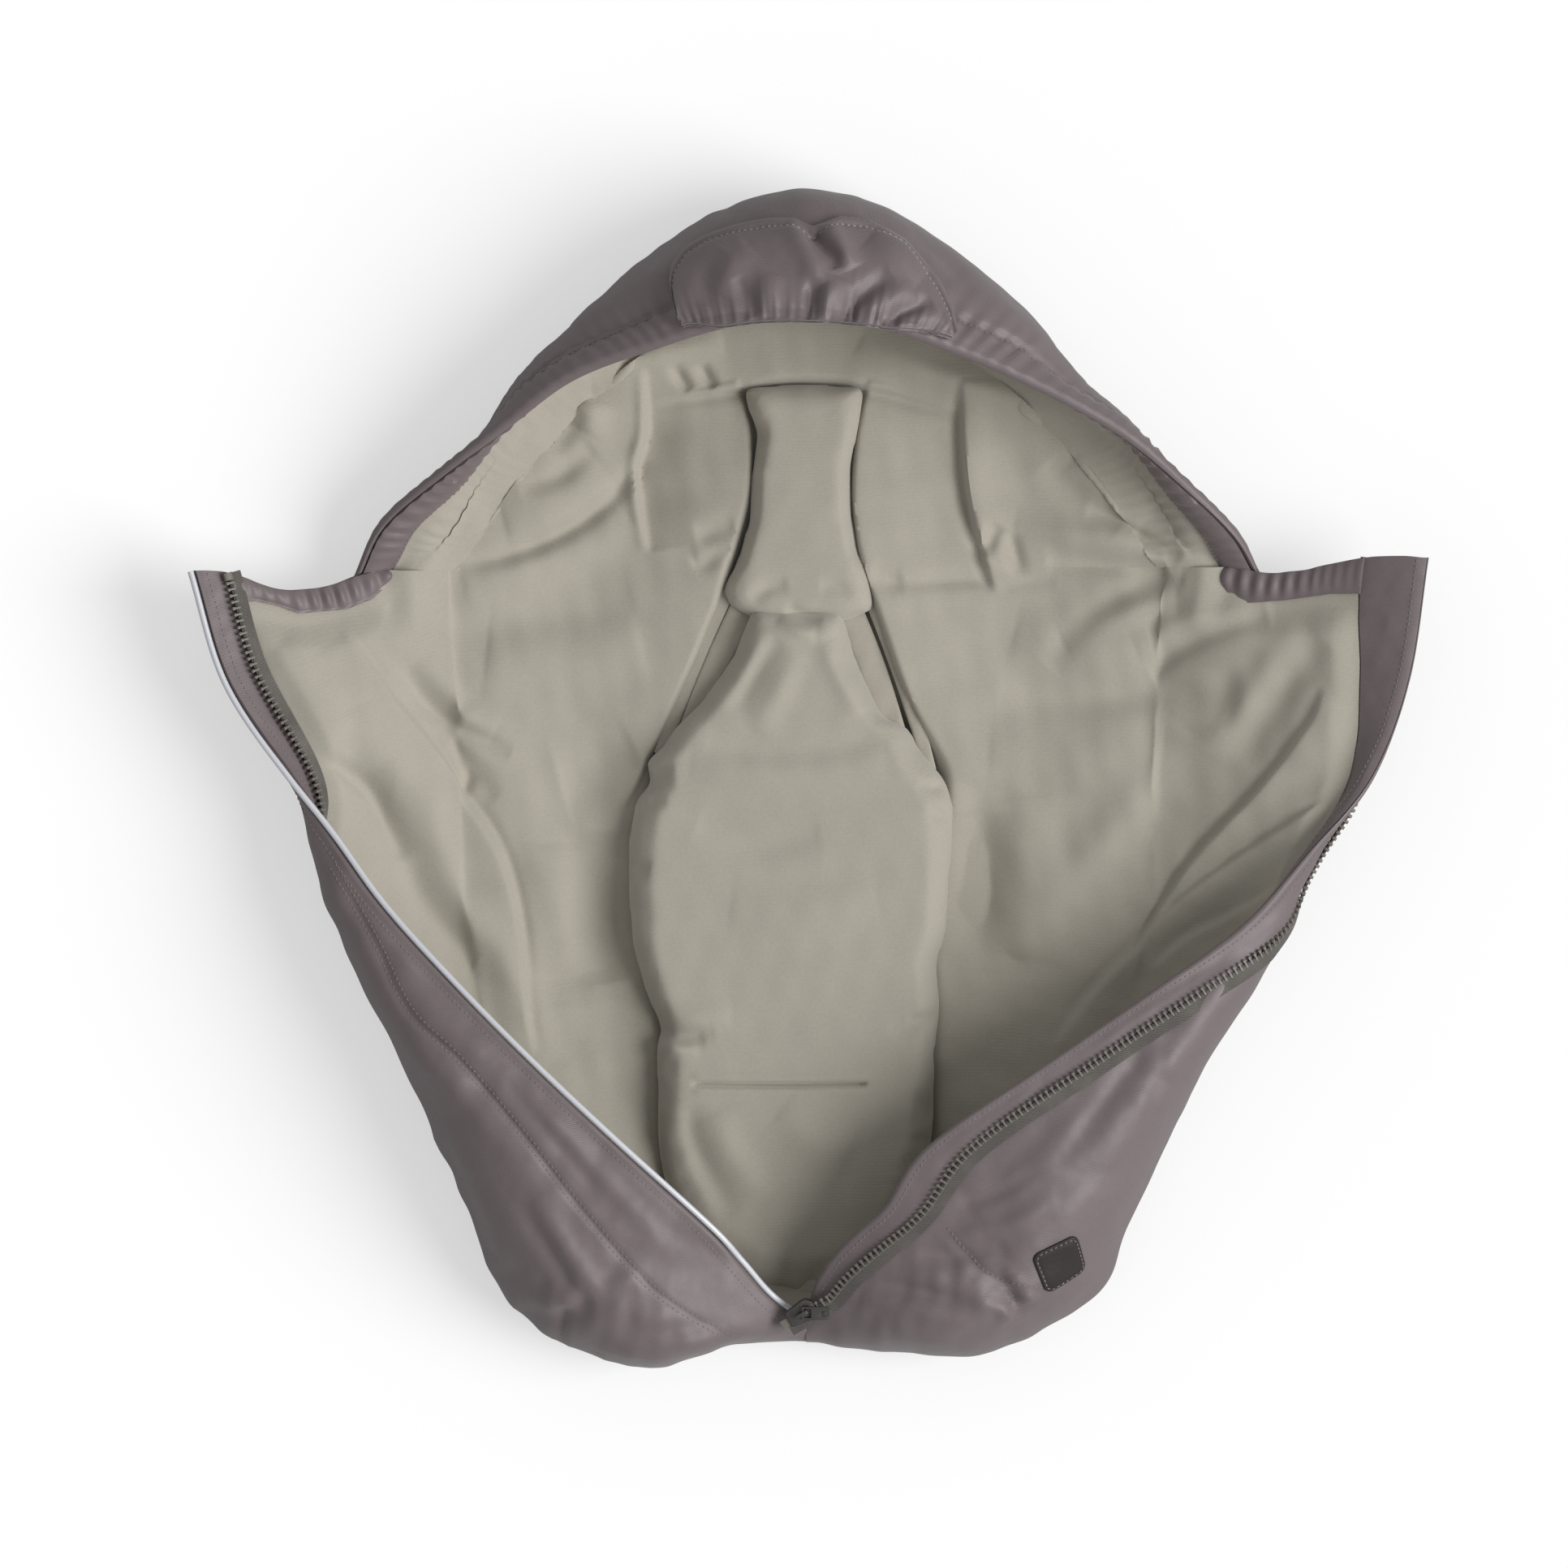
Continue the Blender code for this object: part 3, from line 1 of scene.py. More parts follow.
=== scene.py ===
# %% [markdown]
# # A car seat footmuff, opened out on its back
# The muff is a quilted sack with a hood. Its front is unzipped and lies open to both sides, so the eye
# looks straight into the lining. A cloth simulation could drape the whole muff, but its folds would fall
# by chance and not as they were photographed. So almost every piece is made the same way: a smooth wall,
# given by five rails at each station round the muff, is swept with the cross-section of one layer, and
# the layer's folds are added along the wall's own normal. Small things that repeat, such as stitches and
# zip teeth, are set along paths by Geometry Nodes.
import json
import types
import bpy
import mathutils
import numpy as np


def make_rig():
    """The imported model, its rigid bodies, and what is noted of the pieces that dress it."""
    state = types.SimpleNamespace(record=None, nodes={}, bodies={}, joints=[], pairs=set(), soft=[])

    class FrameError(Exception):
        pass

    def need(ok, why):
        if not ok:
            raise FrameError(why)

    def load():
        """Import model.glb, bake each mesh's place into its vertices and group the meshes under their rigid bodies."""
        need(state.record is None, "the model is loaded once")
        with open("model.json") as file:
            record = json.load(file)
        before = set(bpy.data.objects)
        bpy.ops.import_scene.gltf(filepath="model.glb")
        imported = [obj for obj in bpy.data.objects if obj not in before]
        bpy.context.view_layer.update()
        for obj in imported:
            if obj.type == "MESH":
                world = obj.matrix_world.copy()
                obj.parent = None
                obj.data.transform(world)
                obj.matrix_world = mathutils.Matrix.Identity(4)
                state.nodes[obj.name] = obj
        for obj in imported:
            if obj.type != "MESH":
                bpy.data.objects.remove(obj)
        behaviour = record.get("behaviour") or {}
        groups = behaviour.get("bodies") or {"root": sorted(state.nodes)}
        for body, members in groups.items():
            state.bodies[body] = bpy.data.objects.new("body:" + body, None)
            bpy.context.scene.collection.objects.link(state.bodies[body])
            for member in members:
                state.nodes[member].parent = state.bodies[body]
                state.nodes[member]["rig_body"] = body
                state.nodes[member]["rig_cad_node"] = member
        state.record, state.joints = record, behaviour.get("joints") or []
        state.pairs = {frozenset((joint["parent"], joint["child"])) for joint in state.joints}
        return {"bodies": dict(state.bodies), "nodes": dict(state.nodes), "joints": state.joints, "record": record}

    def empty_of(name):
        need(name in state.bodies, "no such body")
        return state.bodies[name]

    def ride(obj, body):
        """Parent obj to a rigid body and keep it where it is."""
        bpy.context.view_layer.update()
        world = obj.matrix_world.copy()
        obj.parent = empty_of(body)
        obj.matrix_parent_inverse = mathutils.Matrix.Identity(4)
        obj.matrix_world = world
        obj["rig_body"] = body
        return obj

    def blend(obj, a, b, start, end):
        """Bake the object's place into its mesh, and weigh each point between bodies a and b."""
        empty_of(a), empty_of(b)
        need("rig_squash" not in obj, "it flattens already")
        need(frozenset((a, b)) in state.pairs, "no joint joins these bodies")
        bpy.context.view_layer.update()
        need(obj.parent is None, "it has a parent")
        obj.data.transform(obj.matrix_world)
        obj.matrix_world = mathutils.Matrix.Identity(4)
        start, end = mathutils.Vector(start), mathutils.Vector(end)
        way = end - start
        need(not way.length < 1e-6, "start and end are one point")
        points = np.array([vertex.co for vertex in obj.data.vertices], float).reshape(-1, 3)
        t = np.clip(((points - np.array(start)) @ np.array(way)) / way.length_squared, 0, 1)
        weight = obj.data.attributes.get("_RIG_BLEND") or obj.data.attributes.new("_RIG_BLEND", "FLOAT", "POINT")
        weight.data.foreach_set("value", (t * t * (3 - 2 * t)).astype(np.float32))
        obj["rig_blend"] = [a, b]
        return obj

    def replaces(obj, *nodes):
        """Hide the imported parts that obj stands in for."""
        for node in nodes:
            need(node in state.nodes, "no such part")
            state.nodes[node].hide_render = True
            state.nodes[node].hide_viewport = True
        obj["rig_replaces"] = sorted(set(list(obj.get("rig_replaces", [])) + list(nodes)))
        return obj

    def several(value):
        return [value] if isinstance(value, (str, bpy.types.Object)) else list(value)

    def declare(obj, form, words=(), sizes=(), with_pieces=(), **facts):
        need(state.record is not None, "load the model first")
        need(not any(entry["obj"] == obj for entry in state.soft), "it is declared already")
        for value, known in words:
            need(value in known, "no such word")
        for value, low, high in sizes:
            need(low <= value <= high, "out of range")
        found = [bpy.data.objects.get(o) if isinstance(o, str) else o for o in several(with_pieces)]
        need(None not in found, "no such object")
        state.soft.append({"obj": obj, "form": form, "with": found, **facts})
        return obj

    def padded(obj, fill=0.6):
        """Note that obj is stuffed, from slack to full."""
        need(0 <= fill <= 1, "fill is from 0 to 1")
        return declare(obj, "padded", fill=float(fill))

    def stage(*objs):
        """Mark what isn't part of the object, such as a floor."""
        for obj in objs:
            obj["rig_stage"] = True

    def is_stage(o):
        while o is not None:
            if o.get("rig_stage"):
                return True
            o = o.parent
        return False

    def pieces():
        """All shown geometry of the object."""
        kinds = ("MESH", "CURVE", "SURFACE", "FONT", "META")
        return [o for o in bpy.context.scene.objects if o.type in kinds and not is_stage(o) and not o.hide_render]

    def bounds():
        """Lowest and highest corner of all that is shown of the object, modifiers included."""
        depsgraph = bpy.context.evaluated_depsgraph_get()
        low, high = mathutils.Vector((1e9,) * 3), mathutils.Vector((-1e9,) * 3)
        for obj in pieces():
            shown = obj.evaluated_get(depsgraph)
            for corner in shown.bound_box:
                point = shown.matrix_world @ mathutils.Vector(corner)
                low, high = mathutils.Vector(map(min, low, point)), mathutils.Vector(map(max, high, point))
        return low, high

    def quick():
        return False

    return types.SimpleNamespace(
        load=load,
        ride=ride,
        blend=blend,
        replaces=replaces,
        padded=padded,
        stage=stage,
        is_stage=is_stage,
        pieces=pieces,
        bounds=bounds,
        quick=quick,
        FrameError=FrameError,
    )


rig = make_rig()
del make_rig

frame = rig.load()

import json
import math

import bmesh
import bpy
import numpy as np
from mathutils import Vector
from mathutils.bvhtree import BVHTree

CAD_BOX = [list(corner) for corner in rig.bounds()]
MM = 0.001
UP = np.array([0.0, 0.0, 1.0])
print("CAD box", CAD_BOX)

# %% [markdown]
# ## The wall
# On the real muff this is the sewn side from the floor up to the zip. A box with round corners could
# stand in for it, but a sewn muff has no flat side. So each station lists, in millimetres, where the
# outside of the fabric leaves the floor, its lower side, its widest line, its crown and its rim. The
# packed solids have the same rails.

# %% Rails of the left wall, the right wall and the hood
LEFT = (
    ((-215, 129, 0), (-262, 129, 25), (-305, 129, 37), (-345, 129, 50), (-378.7, 129, 62)),
    ((-208, 60, 0), (-262, 60, 25), (-300, 60, 40), (-332, 60, 54), (-358, 60, 66)),
    ((-205, 0, 0), (-262, 0, 25), (-295, 0, 44), (-314, 0, 60), (-321, 0, 73)),
    ((-203, -40, 0), (-262, -40, 25), (-298, -40, 49), (-304, -40, 66), (-292, -40, 81)),
    ((-200, -78, 0), (-262, -78, 25), (-291, -78, 56), (-287, -78, 78), (-264, -78, 91)),
    ((-195, -120, 0), (-250, -120, 24), (-273, -120, 54), (-262, -120, 89), (-226, -120, 102)),
    ((-184, -172, 0), (-230, -172, 24), (-248, -172, 56), (-230, -172, 98), (-175, -172, 111)),
    ((-169, -224, 0), (-208, -224, 24), (-224, -226, 54), (-194, -226, 102), (-120, -224, 111)),
    ((-150, -264, 0), (-188, -272, 24), (-203, -275, 50), (-164, -275, 100), (-65, -274, 99)),
    ((-134, -298, 0), (-163, -316, 22), (-176, -327, 46), (-126, -322, 92), (-42, -298, 82)),
    ((-94, -320, 0), (-104, -346, 20), (-110, -359, 42), (-80, -346, 78), (-25, -317, 66)),
    ((-42, -318, 0), (-44, -339, 14), (-45, -346, 30), (-30, -341, 52), (-10, -330, 54)),
    ((0, -318, 0), (0, -336, 10), (0, -344, 22), (0, -341, 36), (0, -335, 47)),
)
RIGHT = (
    ((215, 131, 0), (262, 131, 25), (305, 131, 37), (345, 131, 50), (382, 131, 62)),
    ((208, 62, 0), (262, 62, 25), (306, 62, 40), (343, 62, 54), (371, 62, 66)),
    ((205, 0, 0), (262, 0, 25), (304, 0, 43), (334, 0, 57), (349, 0, 72)),
    ((203, -45, 0), (262, -45, 25), (299, -45, 48), (315, -45, 65), (314, -45, 81)),
    ((200, -90, 0), (262, -90, 25), (293, -90, 55), (291, -90, 77), (273, -90, 92)),
    ((190, -130, 0), (247, -130, 24), (271, -131, 54), (262, -131, 89), (216, -130, 103)),
    ((180, -175, 0), (228, -175, 24), (244, -175, 56), (226, -175, 98), (150, -175, 112)),
    ((168, -223, 0), (206, -225, 24), (218, -227, 54), (186, -227, 103), (77, -226, 110)),
    ((149, -264, 0), (182, -272, 24), (196, -273, 50), (160, -273, 100), (50, -264, 98)),
    ((133, -298, 0), (162, -314, 22), (174, -318, 46), (126, -313, 92), (32, -280, 86)),
    ((92, -320, 0), (102, -342, 20), (111, -351, 42), (80, -338, 78), (17, -295, 75)),
    ((42, -318, 0), (50, -342, 14), (56, -351, 30), (36, -341, 54), (6, -313, 63)),
    ((0, -318, 0), (0, -336, 10), (0, -344, 22), (0, -341, 36), (0, -331, 47)),
)
HOOD = (
    ((-215, 130, 0), (-231, 130, 4), (-243, 130, 11), (-253, 130, 18), (-262, 130, 25)),
    ((-198, 152, 0), (-220, 155, 8), (-236, 158, 20), (-247, 160, 33), (-255, 160, 46)),
    ((-180, 180, 0), (-203, 186, 12), (-220, 190, 28), (-228, 191, 46), (-228, 190, 63)),
    ((-160, 206, 0), (-180, 217, 14), (-194, 224, 35), (-197, 225, 60), (-190, 220, 80)),
    ((-132, 236, 0), (-150, 252, 16), (-162, 262, 40), (-160, 261, 72), (-147, 251, 97)),
    ((-98, 262, 0), (-112, 286, 18), (-119, 300, 44), (-112, 292, 84), (-96, 270, 112)),
    ((-52, 284, 0), (-58, 318, 20), (-60, 345, 48), (-53, 330, 94), (-46, 284, 124)),
    ((0, 292, 0), (2, 330, 20), (5, 359.3, 50), (4, 342, 98), (0, 287, 128)),
    ((50, 284, 0), (57, 318, 20), (62, 343, 48), (57, 327, 94), (48, 282, 124)),
    ((96, 260, 0), (114, 284, 18), (126, 294, 44), (118, 286, 84), (98, 265, 112)),
    ((132, 234, 0), (150, 246, 16), (160, 253, 40), (160, 251, 70), (150, 243, 97)),
    ((162, 204, 0), (186, 212, 14), (202, 218, 35), (206, 220, 58), (200, 215, 80)),
    ((184, 176, 0), (210, 182, 12), (228, 187, 28), (236, 188, 46), (236, 183, 63)),
    ((200, 152, 0), (224, 154, 8), (242, 157, 20), (252, 157, 33), (258, 154, 46)),
    ((215, 132, 0), (231, 132, 4), (243, 132, 11), (253, 132, 18), (262, 132, 25)),
)
# How far the open flaps' top edge dips, every 10 mm from 250 mm off the middle
TOP_DIP = {
    "left": (0, 0, 0.5, 4, 8, 10.5, 11.5, 12, 11, 8, 4, 1, 0, 0),
    "right": (0, 0, 0.5, 3, 3.5, 2.5, 1.5, -1, -3, -5, -6.5, -7, -7, -6),
}
FOOT = 12  # the last station of both side walls, in the middle of the foot
CROWN = 14  # the last station of the hood
print("stations:", {"left": len(LEFT), "right": len(RIGHT), "hood": len(HOOD)})

# %% [markdown]
# ## Smooth curves
# The muff's edges bend softly everywhere. A curve object could carry them, but thousands of its places
# would have to be read one by one. So a curve through given points is written out for whole arrays, with
# a way to measure lengths along it.

# %% Curves and lengths
def between(p0, p1, p2, p3, f):
    """Catmull-Rom curve from p1 to p2, read at the share f."""
    return 0.5 * (2 * p1 + (p2 - p0) * f + (2 * p0 - 5 * p1 + 4 * p2 - p3) * f ** 2
                  + (3 * p1 - p0 - 3 * p2 + p3) * f ** 3)


def spline(values, at):
    """Smooth curve through the rows of values, read at the places in at."""
    last = len(values) - 1
    i = np.clip(np.floor(at).astype(int), 0, last - 1)
    f = (at - i)[:, None]
    p1, p2 = values[i], values[i + 1]
    p0 = np.where((i > 0)[:, None], values[np.maximum(i - 1, 0)], 2 * p1 - p2)
    p3 = np.where((i + 2 <= last)[:, None], values[np.minimum(i + 2, last)], 2 * p2 - p1)
    return between(p0, p1, p2, p3, f)


def soft_step(x):
    """0 below 0, 1 above 1, smooth between."""
    x = np.clip(x, 0, 1)
    return x * x * (3 - 2 * x)


def length_along(points):
    """The length from the first point to each of the points."""
    return np.concatenate([[0], np.cumsum(np.linalg.norm(np.diff(points, axis=0), axis=1))])


def read_along(at, run, values):
    """Rows of values, given at the lengths in run, read at the lengths in at."""
    return np.stack([np.interp(at, run, column) for column in values.T], axis=-1)


print("a quarter of the way, a soft step has done", float(soft_step(0.25)))

# %% [markdown]
# ## A wall that can be read anywhere
# Every layer of the muff follows the same wall: the shell outside, the quilt, the bands and the zips.
# Each could be an offset of the one before, as a Solidify modifier makes it, but then small errors add
# up until layers cut each other. So a wall gives its points and normals by station and by distance from
# its rim, and a layer only says how deep it lies.

# %% Wall
class Wall:
    """Points and normals of one wall, by station and by distance from its rim.

    ends lists, for each station, where the layer that runs on along the floor stops, in plan millimetres."""

    def __init__(self, rails, ends, level, dips=None):
        """level(s) is how much of the normal's part along Y stays at station s.

        dips lower the flap's top edge."""
        self.rails = np.array(rails, float) * MM
        self.dips = None if dips is None else np.array(dips, float)[:, None] * MM
        self.ends = np.array(ends, float) * MM
        self.level = level
        self.last = len(rails) - 1
        self.sign = 1.0
        middle = self.normals(np.array([self.last / 2]), np.array([[0.5]]))
        self.sign = math.copysign(1.0, middle[0, 0, 2])

    def points(self, s, t):
        rails = spline(self.rails.reshape(len(self.rails), 15), s).reshape(-1, 5, 3)
        before = 2 * rails[:, 0] - rails[:, 1]
        before[:, 2] = rails[:, 1, 2]
        rails = np.concatenate([before[:, None], rails], axis=1)
        i = np.clip(np.floor(t + 1).astype(int), 0, 4)
        f = (t + 1 - i)[..., None]
        rows = np.arange(len(s))[:, None]
        p1, p2 = rails[rows, i], rails[rows, i + 1]
        p0 = np.where((i > 0)[..., None], rails[rows, np.maximum(i - 1, 0)], 2 * p1 - p2)
        p3 = np.where((i < 4)[..., None], rails[rows, np.minimum(i + 2, 5)], 2 * p2 - p1)
        made = between(p0, p1, p2, p3, f)
        if self.dips is not None:
            place = np.clip((np.abs(made[..., 0]) - 0.25) / 0.01, 0, len(self.dips) - 1)
            dip = spline(self.dips, place.reshape(-1)).reshape(place.shape)
            made[..., 1] -= dip * soft_step((made[..., 1] - 0.04) / 0.09)
        return made

    def normals(self, s, t):
        """Unit normals to the inside of the muff; along the floor they point straight up.

        Places t run from 0, where the wall leaves the floor, to 4 at its rim."""
        step = 0.03
        low, high = np.maximum(s - step, 0), np.minimum(s + step, self.last)
        along = self.points(high, t) - self.points(low, t)
        across = self.points(s, np.minimum(t + step, 4)) - self.points(s, t - step)
        made = np.cross(along, across) * self.sign
        made[..., 1] *= self.level(s)[:, None]
        made /= np.linalg.norm(made, axis=2, keepdims=True)
        made = UP + (made - UP) * soft_step(t / 0.4)[..., None]
        return made / np.linalg.norm(made, axis=2, keepdims=True)

    def reach(self, s):
        """Length of the wall from rim to floor at each station."""
        return self._runs(s)[1][:, -1]

    def _runs(self, s):
        places = np.linspace(4, 0, 121)
        points = self.points(s, np.tile(places, (len(s), 1)))
        steps = np.linalg.norm(np.diff(points, axis=1), axis=2)
        return places, np.concatenate([np.zeros((len(s), 1)), np.cumsum(steps, axis=1)], axis=1)

    def surface(self, s, distance):
        """Points and normals at distances from the rim; a negative distance lies beyond the rim."""
        places, runs = self._runs(s)
        t = np.array([np.interp(d, run, places) for d, run in zip(distance, runs)])
        points, normals = self.points(s, t), self.normals(s, t)
        rim, inner = self.points(s, np.full((len(s), 1), 4.0)), self.points(s, np.full((len(s), 1), 3.97))
        away = rim - inner
        away /= np.linalg.norm(away, axis=2, keepdims=True)
        beyond = np.maximum(-distance, 0)[..., None]
        edge = self.points(s, np.zeros((len(s), 1)))[:, 0]
        inward = self.floor_ends(s) - edge
        length = np.linalg.norm(inward, axis=1)
        on_floor = np.maximum(distance - runs[:, -1:], 0)[..., None] * (inward / length[:, None])[:, None]
        return points + away * beyond + on_floor, normals

    def floor_ends(self, s):
        ends = spline(self.ends, s)
        return np.concatenate([ends, np.zeros((len(s), 1))], axis=1)

    def full_reach(self, s):
        """Length of the wall and the floor run together."""
        edge = self.points(s, np.zeros((len(s), 1)))[:, 0]
        return self.reach(s) + np.linalg.norm(self.floor_ends(s) - edge, axis=1)

    def rim_run(self, s, t=4.0):
        """Length along the rim, or along another rail, at each station."""
        return length_along(self.points(s, np.full((len(s), 1), t))[:, 0])


print("a wall can be asked for", [name for name in vars(Wall) if name[0] != "_"])

# %% [markdown]
# ## Three walls that meet
# The hood is sewn to both side walls, and all the linings run on over the back. Three loose walls would
# leave gaps there. So the hood's first and last rails are laid on the side walls, and each wall is told
# where on the floor its layers stop.

# %% Left wall, right wall and hood
LEFT_ENDS = (
    (-40, 129), (-62, 58), (-92, 4), (-90, -40), (-88, -78), (-88, -120), (-80, -172), (-78, -224),
    (-74, -255), (-66, -275), (-48, -286), (-22, -290), (0, -290),
)
RIGHT_ENDS = (
    (22, 131), (47, 60), (78, 4), (72, -45), (70, -90), (70, -130), (70, -175), (72, -223), (70, -255),
    (62, -275), (46, -286), (22, -290), (0, -290),
)
HOOD_ENDS = (
    (-40, 129), (-32, 152), (-25, 180), (-24, 206), (-27, 236), (-26, 238), (-18, 238), (0, 238),
    (18, 238), (24, 238), (24, 236), (20, 206), (17, 180), (19, 152), (22, 131),
)


def joined_hood(left, right):
    """The hood's rails, with its two ends laid on the side walls so that the linings run into each other."""
    rails = [list(station) for station in HOOD]
    share = np.linspace(0, 1.36, 5)[None, :]
    for station, wall in ((0, left), (len(rails) - 1, right)):
        rails[station] = [tuple(p / MM) for p in wall.points(np.zeros(1), share)[0]]
    # The band lies flatter there than the packed solids: (station, rim outwards, band's foot inwards)
    for station, out, inward in ((1, 7, 7), (2, 1, 12), (3, 0, 6)):
        for place, way in ((station, -1), (len(rails) - 1 - station, 1)):
            rail = rails[place]
            rail[4] = (rail[4][0] + way * out, *rail[4][1:])
            rail[3] = (rail[3][0] - way * inward, rail[3][1] - inward / 5, rail[3][2] + inward / 4)
            rail[2] = (rail[2][0] - way * inward * 0.45, *rail[2][1:])
    return rails


WALLS = {side: Wall(rails, ends, lambda s: soft_step(s / 1.2), TOP_DIP[side])
         for side, rails, ends in (("left", LEFT, LEFT_ENDS), ("right", RIGHT, RIGHT_ENDS))}
WALLS["hood"] = Wall(joined_hood(WALLS["left"], WALLS["right"]), HOOD_ENDS,
                     lambda s: soft_step(np.minimum(s, CROWN - s) / 1.2))
print("wall lengths at the middle stations",
      {name: round(float(wall.reach(np.array([wall.last / 2]))[0]), 3) for name, wall in WALLS.items()})

# %% [markdown]
# ## Folds
# The folds of soft cloth are long ridges and creases that start at a seam and fade out. They could be
# sculpted, but a list of lines can be laid over the photograph and corrected one by one. Each line is in
# pixels of the 1932-pixel photograph, with a height and a width in millimetres. A field adds them up, so
# that two pieces that meet share the same folds.

# %% A field of folds
ORIGIN_PIXEL = (994, 961)  # where the frame's origin lies in the photograph
PIXEL = 0.5 * MM


def plan(px, py):
    """A place in the photograph as a place on the floor, in metres."""
    return (px - ORIGIN_PIXEL[0]) * PIXEL, (ORIGIN_PIXEL[1] - py) * PIXEL


def hill(away, width):
    """1 at the middle of a ridge, fading out with the distance away from it."""
    return np.exp(-(away / width) ** 2)


def nearest_on(x, y, line):
    """Distance to a line, the place on it in segments, and 1 on the left of it or -1 on the right."""
    best, place, left_of = np.full(x.shape, 1e9), np.zeros(x.shape), np.zeros(x.shape)
    for k in range(len(line) - 1):
        (ax, ay), (dx, dy) = line[k], line[k + 1] - line[k]
        f = np.clip(((x - ax) * dx + (y - ay) * dy) / (dx * dx + dy * dy), 0, 1)
        away = np.hypot(x - ax - f * dx, y - ay - f * dy)
        closer = away < best
        best = np.where(closer, away, best)
        place = np.where(closer, k + f, place)
        left_of = np.where(closer, np.sign(dx * (y - ay) - dy * (x - ax)), left_of)
    return best, place, left_of


class Folds:
    """Ridges (positive heights) and creases (negative) along lines in the plan.

    A line that starts with "over" is the edge of an overlap: the cloth stands high on its left and falls off
    sharply to its right."""

    def __init__(self, *lines):
        self.lines = []
        for entry in lines:
            over = entry[0] == "over"
            height, width, *points = entry[1:] if over else entry
            line = np.array([plan(*p) for p in points])
            line = spline(line, np.linspace(0, len(line) - 1, 8 * (len(line) - 1) + 1))
            self.lines.append((over, height * MM, width * MM, line))

    def __call__(self, x, y):
        total = np.zeros(np.shape(x))
        for over, height, width, line in self.lines:
            low, high = line.min(axis=0) - 3 * width, line.max(axis=0) + 3 * width
            near = (x > low[0]) & (x < high[0]) & (y > low[1]) & (y < high[1])
            away, along, left_of = nearest_on(x[near], y[near], line)
            fade = np.abs(np.sin(np.pi * along / (len(line) - 1))) ** 0.6
            if over:
                signed = away * left_of
                shape = soft_step(signed / (4.5 * MM) + 0.5) * hill(away, width)
                shape = shape - 0.3 * hill(signed + 3.5 * MM, 3.5 * MM)
            else:
                shape = hill(away, width)
            total[near] += height * fade * shape
        return total


def waves(x, y, size, seed, octaves=3):
    """Smooth uneven swell of about one unit, from a few crossed sine waves a size apart."""
    random = np.random.default_rng(seed)
    total = np.zeros(np.shape(x))
    for octave in range(octaves):
        for _ in range(4):
            turn, phase = random.uniform(0, 2 * np.pi, 2)
            k = 2 * np.pi / size * 1.8 ** octave * random.uniform(0.8, 1.2)
            total += np.sin(k * (x * np.cos(turn) + y * np.sin(turn)) + phase) / (4 * 1.6 ** octave)
    return total


ridge = Folds((3, 10, (0, 0), (100, 0)))
print("a fold of 3 mm stands", round(float(ridge(np.array([-0.47]), np.array([0.48]))[0] / MM), 2), "mm")

# %% [markdown]
# ## From a cross-section to a piece
# A layer is swept along its wall: at each station a closed cross-section of (distance from the rim,
# depth) pairs becomes a loop of points. A bevelled curve could carry one fixed profile, but cloth
# changes its thickness from place to place, so the loops are computed. Their ends are closed with
# triangles from face to back. The cloth's own length and width, in metres, go into a UV map.

# %% Sweep helpers
def placed(name, data):
    """A new object in the scene, at the origin."""
    made = bpy.data.objects.new(name, data)
    bpy.context.scene.collection.objects.link(made)
    return made


def finish_mesh(name, bm, material, angle=60):
    bmesh.ops.recalc_face_normals(bm, faces=bm.faces)
    mesh = bpy.data.meshes.new(name)
    bm.to_mesh(mesh)
    bm.free()
    mesh.shade_smooth()
    mesh.set_sharp_from_angle(angle=math.radians(angle))
    mesh.materials.append(material)
    return placed(name, mesh)


def zipped(loop, first):
    """Triangles that close a thin loop from its first and last point onwards, numbered from first."""
    i, j, faces = 0, len(loop) - 1, []
    while j - i > 1:
        if np.linalg.norm(loop[i + 1] - loop[j]) < np.linalg.norm(loop[i] - loop[j - 1]):
            faces.append((first + i, first + i + 1, first + j))
            i += 1
        else:
            faces.append((first + i, first + j - 1, first + j))
            j -= 1
    return faces


def loops_to_piece(name, loops, material):
    """A closed body through loops of points, with the cloth's lengths as its UV map."""
    m, n = loops.shape[:2]
    i, j = np.meshgrid(np.arange(m - 1), np.arange(n), indexing="ij")
    after = (j + 1) % n
    here, ahead = i * n, (i + 1) * n
    quads = np.stack([here + j, here + after, ahead + after, ahead + j], axis=-1).reshape(-1, 4)
    mesh = bpy.data.meshes.new(name)
    caps = zipped(loops[0], 0) + zipped(loops[-1], (m - 1) * n)
    mesh.from_pydata(loops.reshape(-1, 3).tolist(), [], quads.tolist() + caps)
    uv = mesh.uv_layers.new(name="cloth")
    u, v = np.meshgrid(length_along(loops.mean(axis=1)), length_along(loops[m // 2]), indexing="ij")
    u, v = u.reshape(-1), v.reshape(-1)
    corner = np.empty(len(mesh.loops), dtype=np.int32)
    mesh.loops.foreach_get("vertex_index", corner)
    uv.data.foreach_set("uv", np.stack([u[corner], v[corner]], axis=1).reshape(-1).astype(np.float32))
    bm = bmesh.new()
    bm.from_mesh(mesh)
    bpy.data.meshes.remove(mesh)
    return finish_mesh(name, bm, material)


def rows_between(first, last, wall, step=2.6):
    """Stations close enough for steps of about step millimetres along the wall's crown."""
    coarse = np.linspace(first, last, 200)
    run = wall.rim_run(coarse, 3.0)
    count = int(run[-1] / (step * MM)) + 1
    return np.interp(np.linspace(0, run[-1], count), run, coarse)


def sweep(name, wall, stations, distance, depth, material, lift=None):
    """distance and depth are (stations, loop) arrays; lift(points) adds metres along the normal."""
    points, normals = wall.surface(stations, distance)
    more = lift(points) if lift is not None else 0.0
    return loops_to_piece(name, points + normals * (depth + more)[..., None], material)


